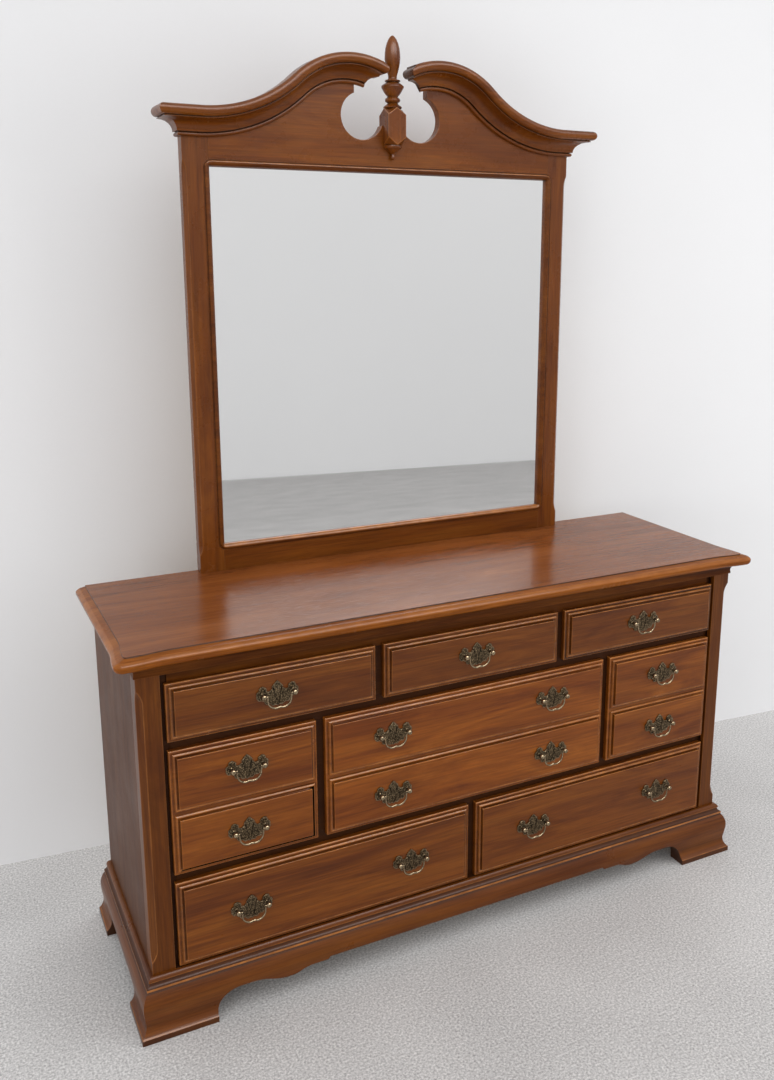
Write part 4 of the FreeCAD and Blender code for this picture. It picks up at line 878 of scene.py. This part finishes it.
NECK_LEVEL = 77.2
NECK_GAP = 0.1
SEAT_GAP = 0.2 * MM
BLOCK_HALF = (22, 26)
BLOCK_CORNERS = (51, 100)
BLOCK_POINTS = (34.6, 115)
FINIAL_TURNS = 64
finial_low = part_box("finial")[0]
finial_foot = Vector((0, finial_low.y + BLOCK_HALF[1] * MM, finial_low.z))
drop_line = [(0.4, 2), (3.2, 2.6), (5.2, 4.4), (6, 7.8), (5.2, 11.2), (4.2, 13.2), (4.5, 15), (7, 18.5),
             (11.5, 22.5), (15, 25.5), (17, 27), (20.2, 28), (21.2, 31), (20.2, 34), (17, 35)]
urn_line = [(19, 114.6), (21, 115.6), (21.4, 117.6), (20, 119.4), (16.5, 121.6), (13, 124.4), (12, 126.4),
            (13.4, 127.6), (16.4, 129.2), (17.8, 132.6), (16.6, 136), (13.6, 138), (11.8, 139.6),
            (12.6, 141.4), (16, 144.6), (19.4, 149.2), (22.6, 154.6), (24.6, 158), (25.9, 160.6),
            (25.4, 163.2), (22, 166.2), (17.6, 169), (14.2, 170.8), (14, 171.8), (17, 172.6), (18, 174.2),
            (17, 175.8), (12, 176.8), (10.4, 178.4), (9.8, 181), (10.2, 185), (12.4, 193.4), (15, 203),
            (17, 213), (17.9, 222.6), (17.5, 233), (16, 244), (13.2, 254.4), (9.4, 262.6), (5.2, 268.4),
            (2.2, 270.6), (0.4, 271)]


def finial_mesh():
    """The finial: turned above and below a block with cut-off corners, with a flat seat on the crest."""
    mesh = bmesh.new()
    open_marks(mesh)
    half_x, half_y = BLOCK_HALF
    corners = [(x * half_x, y * half_y, level) for x in (-1, 1) for y in (-1, 1) for level in BLOCK_CORNERS]
    corners += [(x * half_x, 0, level) for x in (-1, 1) for level in BLOCK_POINTS]
    corners += [(0, y * half_y, level) for y in (-1, 1) for level in BLOCK_POINTS]
    block = [mesh.verts.new(finial_foot + Vector(corner) * MM) for corner in corners]
    bmesh.ops.convex_hull(mesh, input=block)
    bmesh.ops.dissolve_limit(mesh, angle_limit=FLAT_BEND, verts=mesh.verts, edges=mesh.edges)
    # The block's arrises get wear and painted highlight, strongest where they look up.
    ease_arrises(mesh, width=0.9 * MM, wear_and_highlight_share=1.6)
    for level in (NECK_LEVEL - NECK_GAP, NECK_LEVEL):
        bmesh.ops.bisect_plane(mesh, geom=mesh.verts[:] + mesh.edges[:] + mesh.faces[:],
                               plane_co=finial_foot + Vector((0, 0, level * MM)), plane_no=(0, 0, 1))
    for line in (drop_line, urn_line):
        lathe(mesh, line, finial_foot, Vector((0, 0, 1)), FINIAL_TURNS)
    for vert in mesh.verts:
        if vert.co.z < finial_low.z + (NECK_LEVEL - NECK_GAP / 2) * MM:
            vert.co.y = min(vert.co.y, crest_front - SEAT_GAP)
    bmesh.ops.recalc_face_normals(mesh, faces=mesh.faces)
    number_boards(mesh, "finial", tint=0.75)
    return mesh


placed_piece("finial_turned", finial_mesh(), mirror_upright, "case", ["finial"])

# The stage: a pale grey floor, a plain white wall behind that is seen from its front alone, and a second
# wall far in front, so that the glass has a room to show.
def pale_surface(name, low, high, scale, speckle, roughness):
    """A dull surface that is clouded broadly and speckled finely between two tones."""
    material, tree, shader = opened(name)
    place = add(tree, "TexCoord").outputs["Object"]
    cloud = noise(tree, place, detail=4.0, scale=scale)
    grit = noise(tree, place, detail=3.0, scale=210.0, roughness=0.7)
    tone = ramped(tree, mixed(tree, speckle, cloud, grit), (0.3, low), (0.7, high))
    tree.links.new(tone, shader.inputs["Base Color"])
    shader.inputs["Roughness"].default_value = roughness
    shader.inputs["Specular IOR Level"].default_value = 0.2
    return material


def dim_far_off(material):
    """The floor far in front of the piece lies in less light."""
    tree = material.node_tree
    paint = tree.nodes["Principled BSDF"].inputs["Base Color"]
    place = add(tree, "SeparateXYZ", {"Vector": add(tree, "TexCoord").outputs["Object"]})
    light = ranged(tree, place.outputs["Y"], (-9.0, -3.5), (0.77, 1.0))
    tree.links.new(mixed(tree, 1.0, paint.links[0].from_socket, light, "MULTIPLY"), paint)


def seen_from_front(material):
    """Lets a view from behind the wall pass through it."""
    tree = material.node_tree
    shader = tree.nodes["Principled BSDF"]
    side = add(tree, "NewGeometry")
    clear = add(tree, "BsdfTransparent")
    choice = add(tree, "MixShader", {0: side.outputs["Backfacing"], 1: shader.outputs[0],
                                     2: clear.outputs[0]})
    tree.links.new(choice.outputs[0], tree.nodes["Material Output"].inputs["Surface"])


def stage_plane(name, corners, material):
    """One flat surface of the stage, given by its corners."""
    mesh = bpy.data.meshes.new(name)
    mesh.from_pydata(corners, [], [range(len(corners))])
    mesh.materials.append(material)
    plane = bpy.data.objects.new(name, mesh)
    scene.collection.objects.link(plane)
    return plane


floor_paint = pale_surface("pale_floor", (0.25, 0.24, 0.235, 1), (0.86, 0.84, 0.82, 1),
                           scale=2.2, speckle=0.84, roughness=0.6)
wall_paint = pale_surface("white_wall", (0.81, 0.81, 0.815, 1), (0.84, 0.84, 0.845, 1),
                          scale=1.4, speckle=0.3, roughness=0.8)
far_paint = pale_surface("far_wall", (0.92, 0.92, 0.92, 1), (0.94, 0.94, 0.94, 1),
                         scale=0.3, speckle=0.1, roughness=0.8)
dim_far_off(floor_paint)
seen_from_front(wall_paint)
stage_plane("floor", [(-14, -27, 0), (18, -27, 0), (18, 14, 0), (-14, 14, 0)], floor_paint)
wall_corners = [(-7, 1.07, 0), (7, -0.15, 0), (7, -0.15, 4.5), (-7, 1.07, 4.5)]
wall = stage_plane("wall_behind", wall_corners, wall_paint)
wall.visible_diffuse = False
wall.visible_shadow = False
stage_plane("wall_before", [(18, -9.43, 0), (-7, -26.79, 0), (-7, -26.79, 9), (18, -9.43, 9)], far_paint)

# The light: soft panels overhead and on either hand, one more that only gives the polish its gleam, and an
# even pale surround.
def soft_panel(name, place, aim, size, power, gleam=False):
    """A broad lamp that faces a point. It either lights the piece or shows in its polish alone."""
    lamp = bpy.data.lights.new(name, "AREA")
    lamp.shape = "RECTANGLE"
    lamp.size, lamp.size_y = size
    lamp.energy = power
    panel = bpy.data.objects.new(name, lamp)
    panel.location = place
    panel.rotation_euler = (Vector(aim) - Vector(place)).to_track_quat("-Z", "Y").to_euler()
    panel.visible_glossy = gleam
    panel.visible_diffuse = not gleam
    panel.visible_camera = False
    scene.collection.objects.link(panel)


soft_panel("overhead_panel", (0.2, -1.8, 3.2), (0.1, -0.2, 0.7), (3.2, 1.6), power=13)
soft_panel("right_panel", (3.0, -2.3, 1.5), (0.3, 0.2, 0.6), (2.4, 2.0), power=34)
soft_panel("left_panel", (-3.2, -2.2, 0.9), (-0.8, 0.6, 0.4), (2.0, 1.6), power=24)
soft_panel("gleam_panel", (0.1, -1.5, 3.0), (0.1, -0.2, 1.0), (3.4, 1.1), power=85, gleam=True)
world = bpy.data.worlds.new("pale_surround")
world.use_nodes = True
surround = world.node_tree.nodes["Background"]
surround.inputs["Color"].default_value = (0.97, 0.98, 1, 1)
surround.inputs["Strength"].default_value = 0.98
scene.world = world
scene.view_settings.view_transform = "Standard"

# The camera stands to the left of the piece at eye height and looks down on it. Its upright frame takes in
# the whole piece, with a little of the floor and the wall.
lens = bpy.data.cameras.new("photo_camera")
lens.sensor_fit = "VERTICAL"
lens.sensor_height = 24
lens.lens = 22.7876
lens.shift_x = -0.0388
lens.shift_y = -0.0532
camera = bpy.data.objects.new("photo_camera", lens)
camera.location = (-1.0567, -2.0406, 1.5343)
camera.rotation_euler = (math.radians(77.3615), math.radians(-0.2474), math.radians(-27.2225))
scene.collection.objects.link(camera)
scene.camera = camera

bpy.context.view_layer.update()
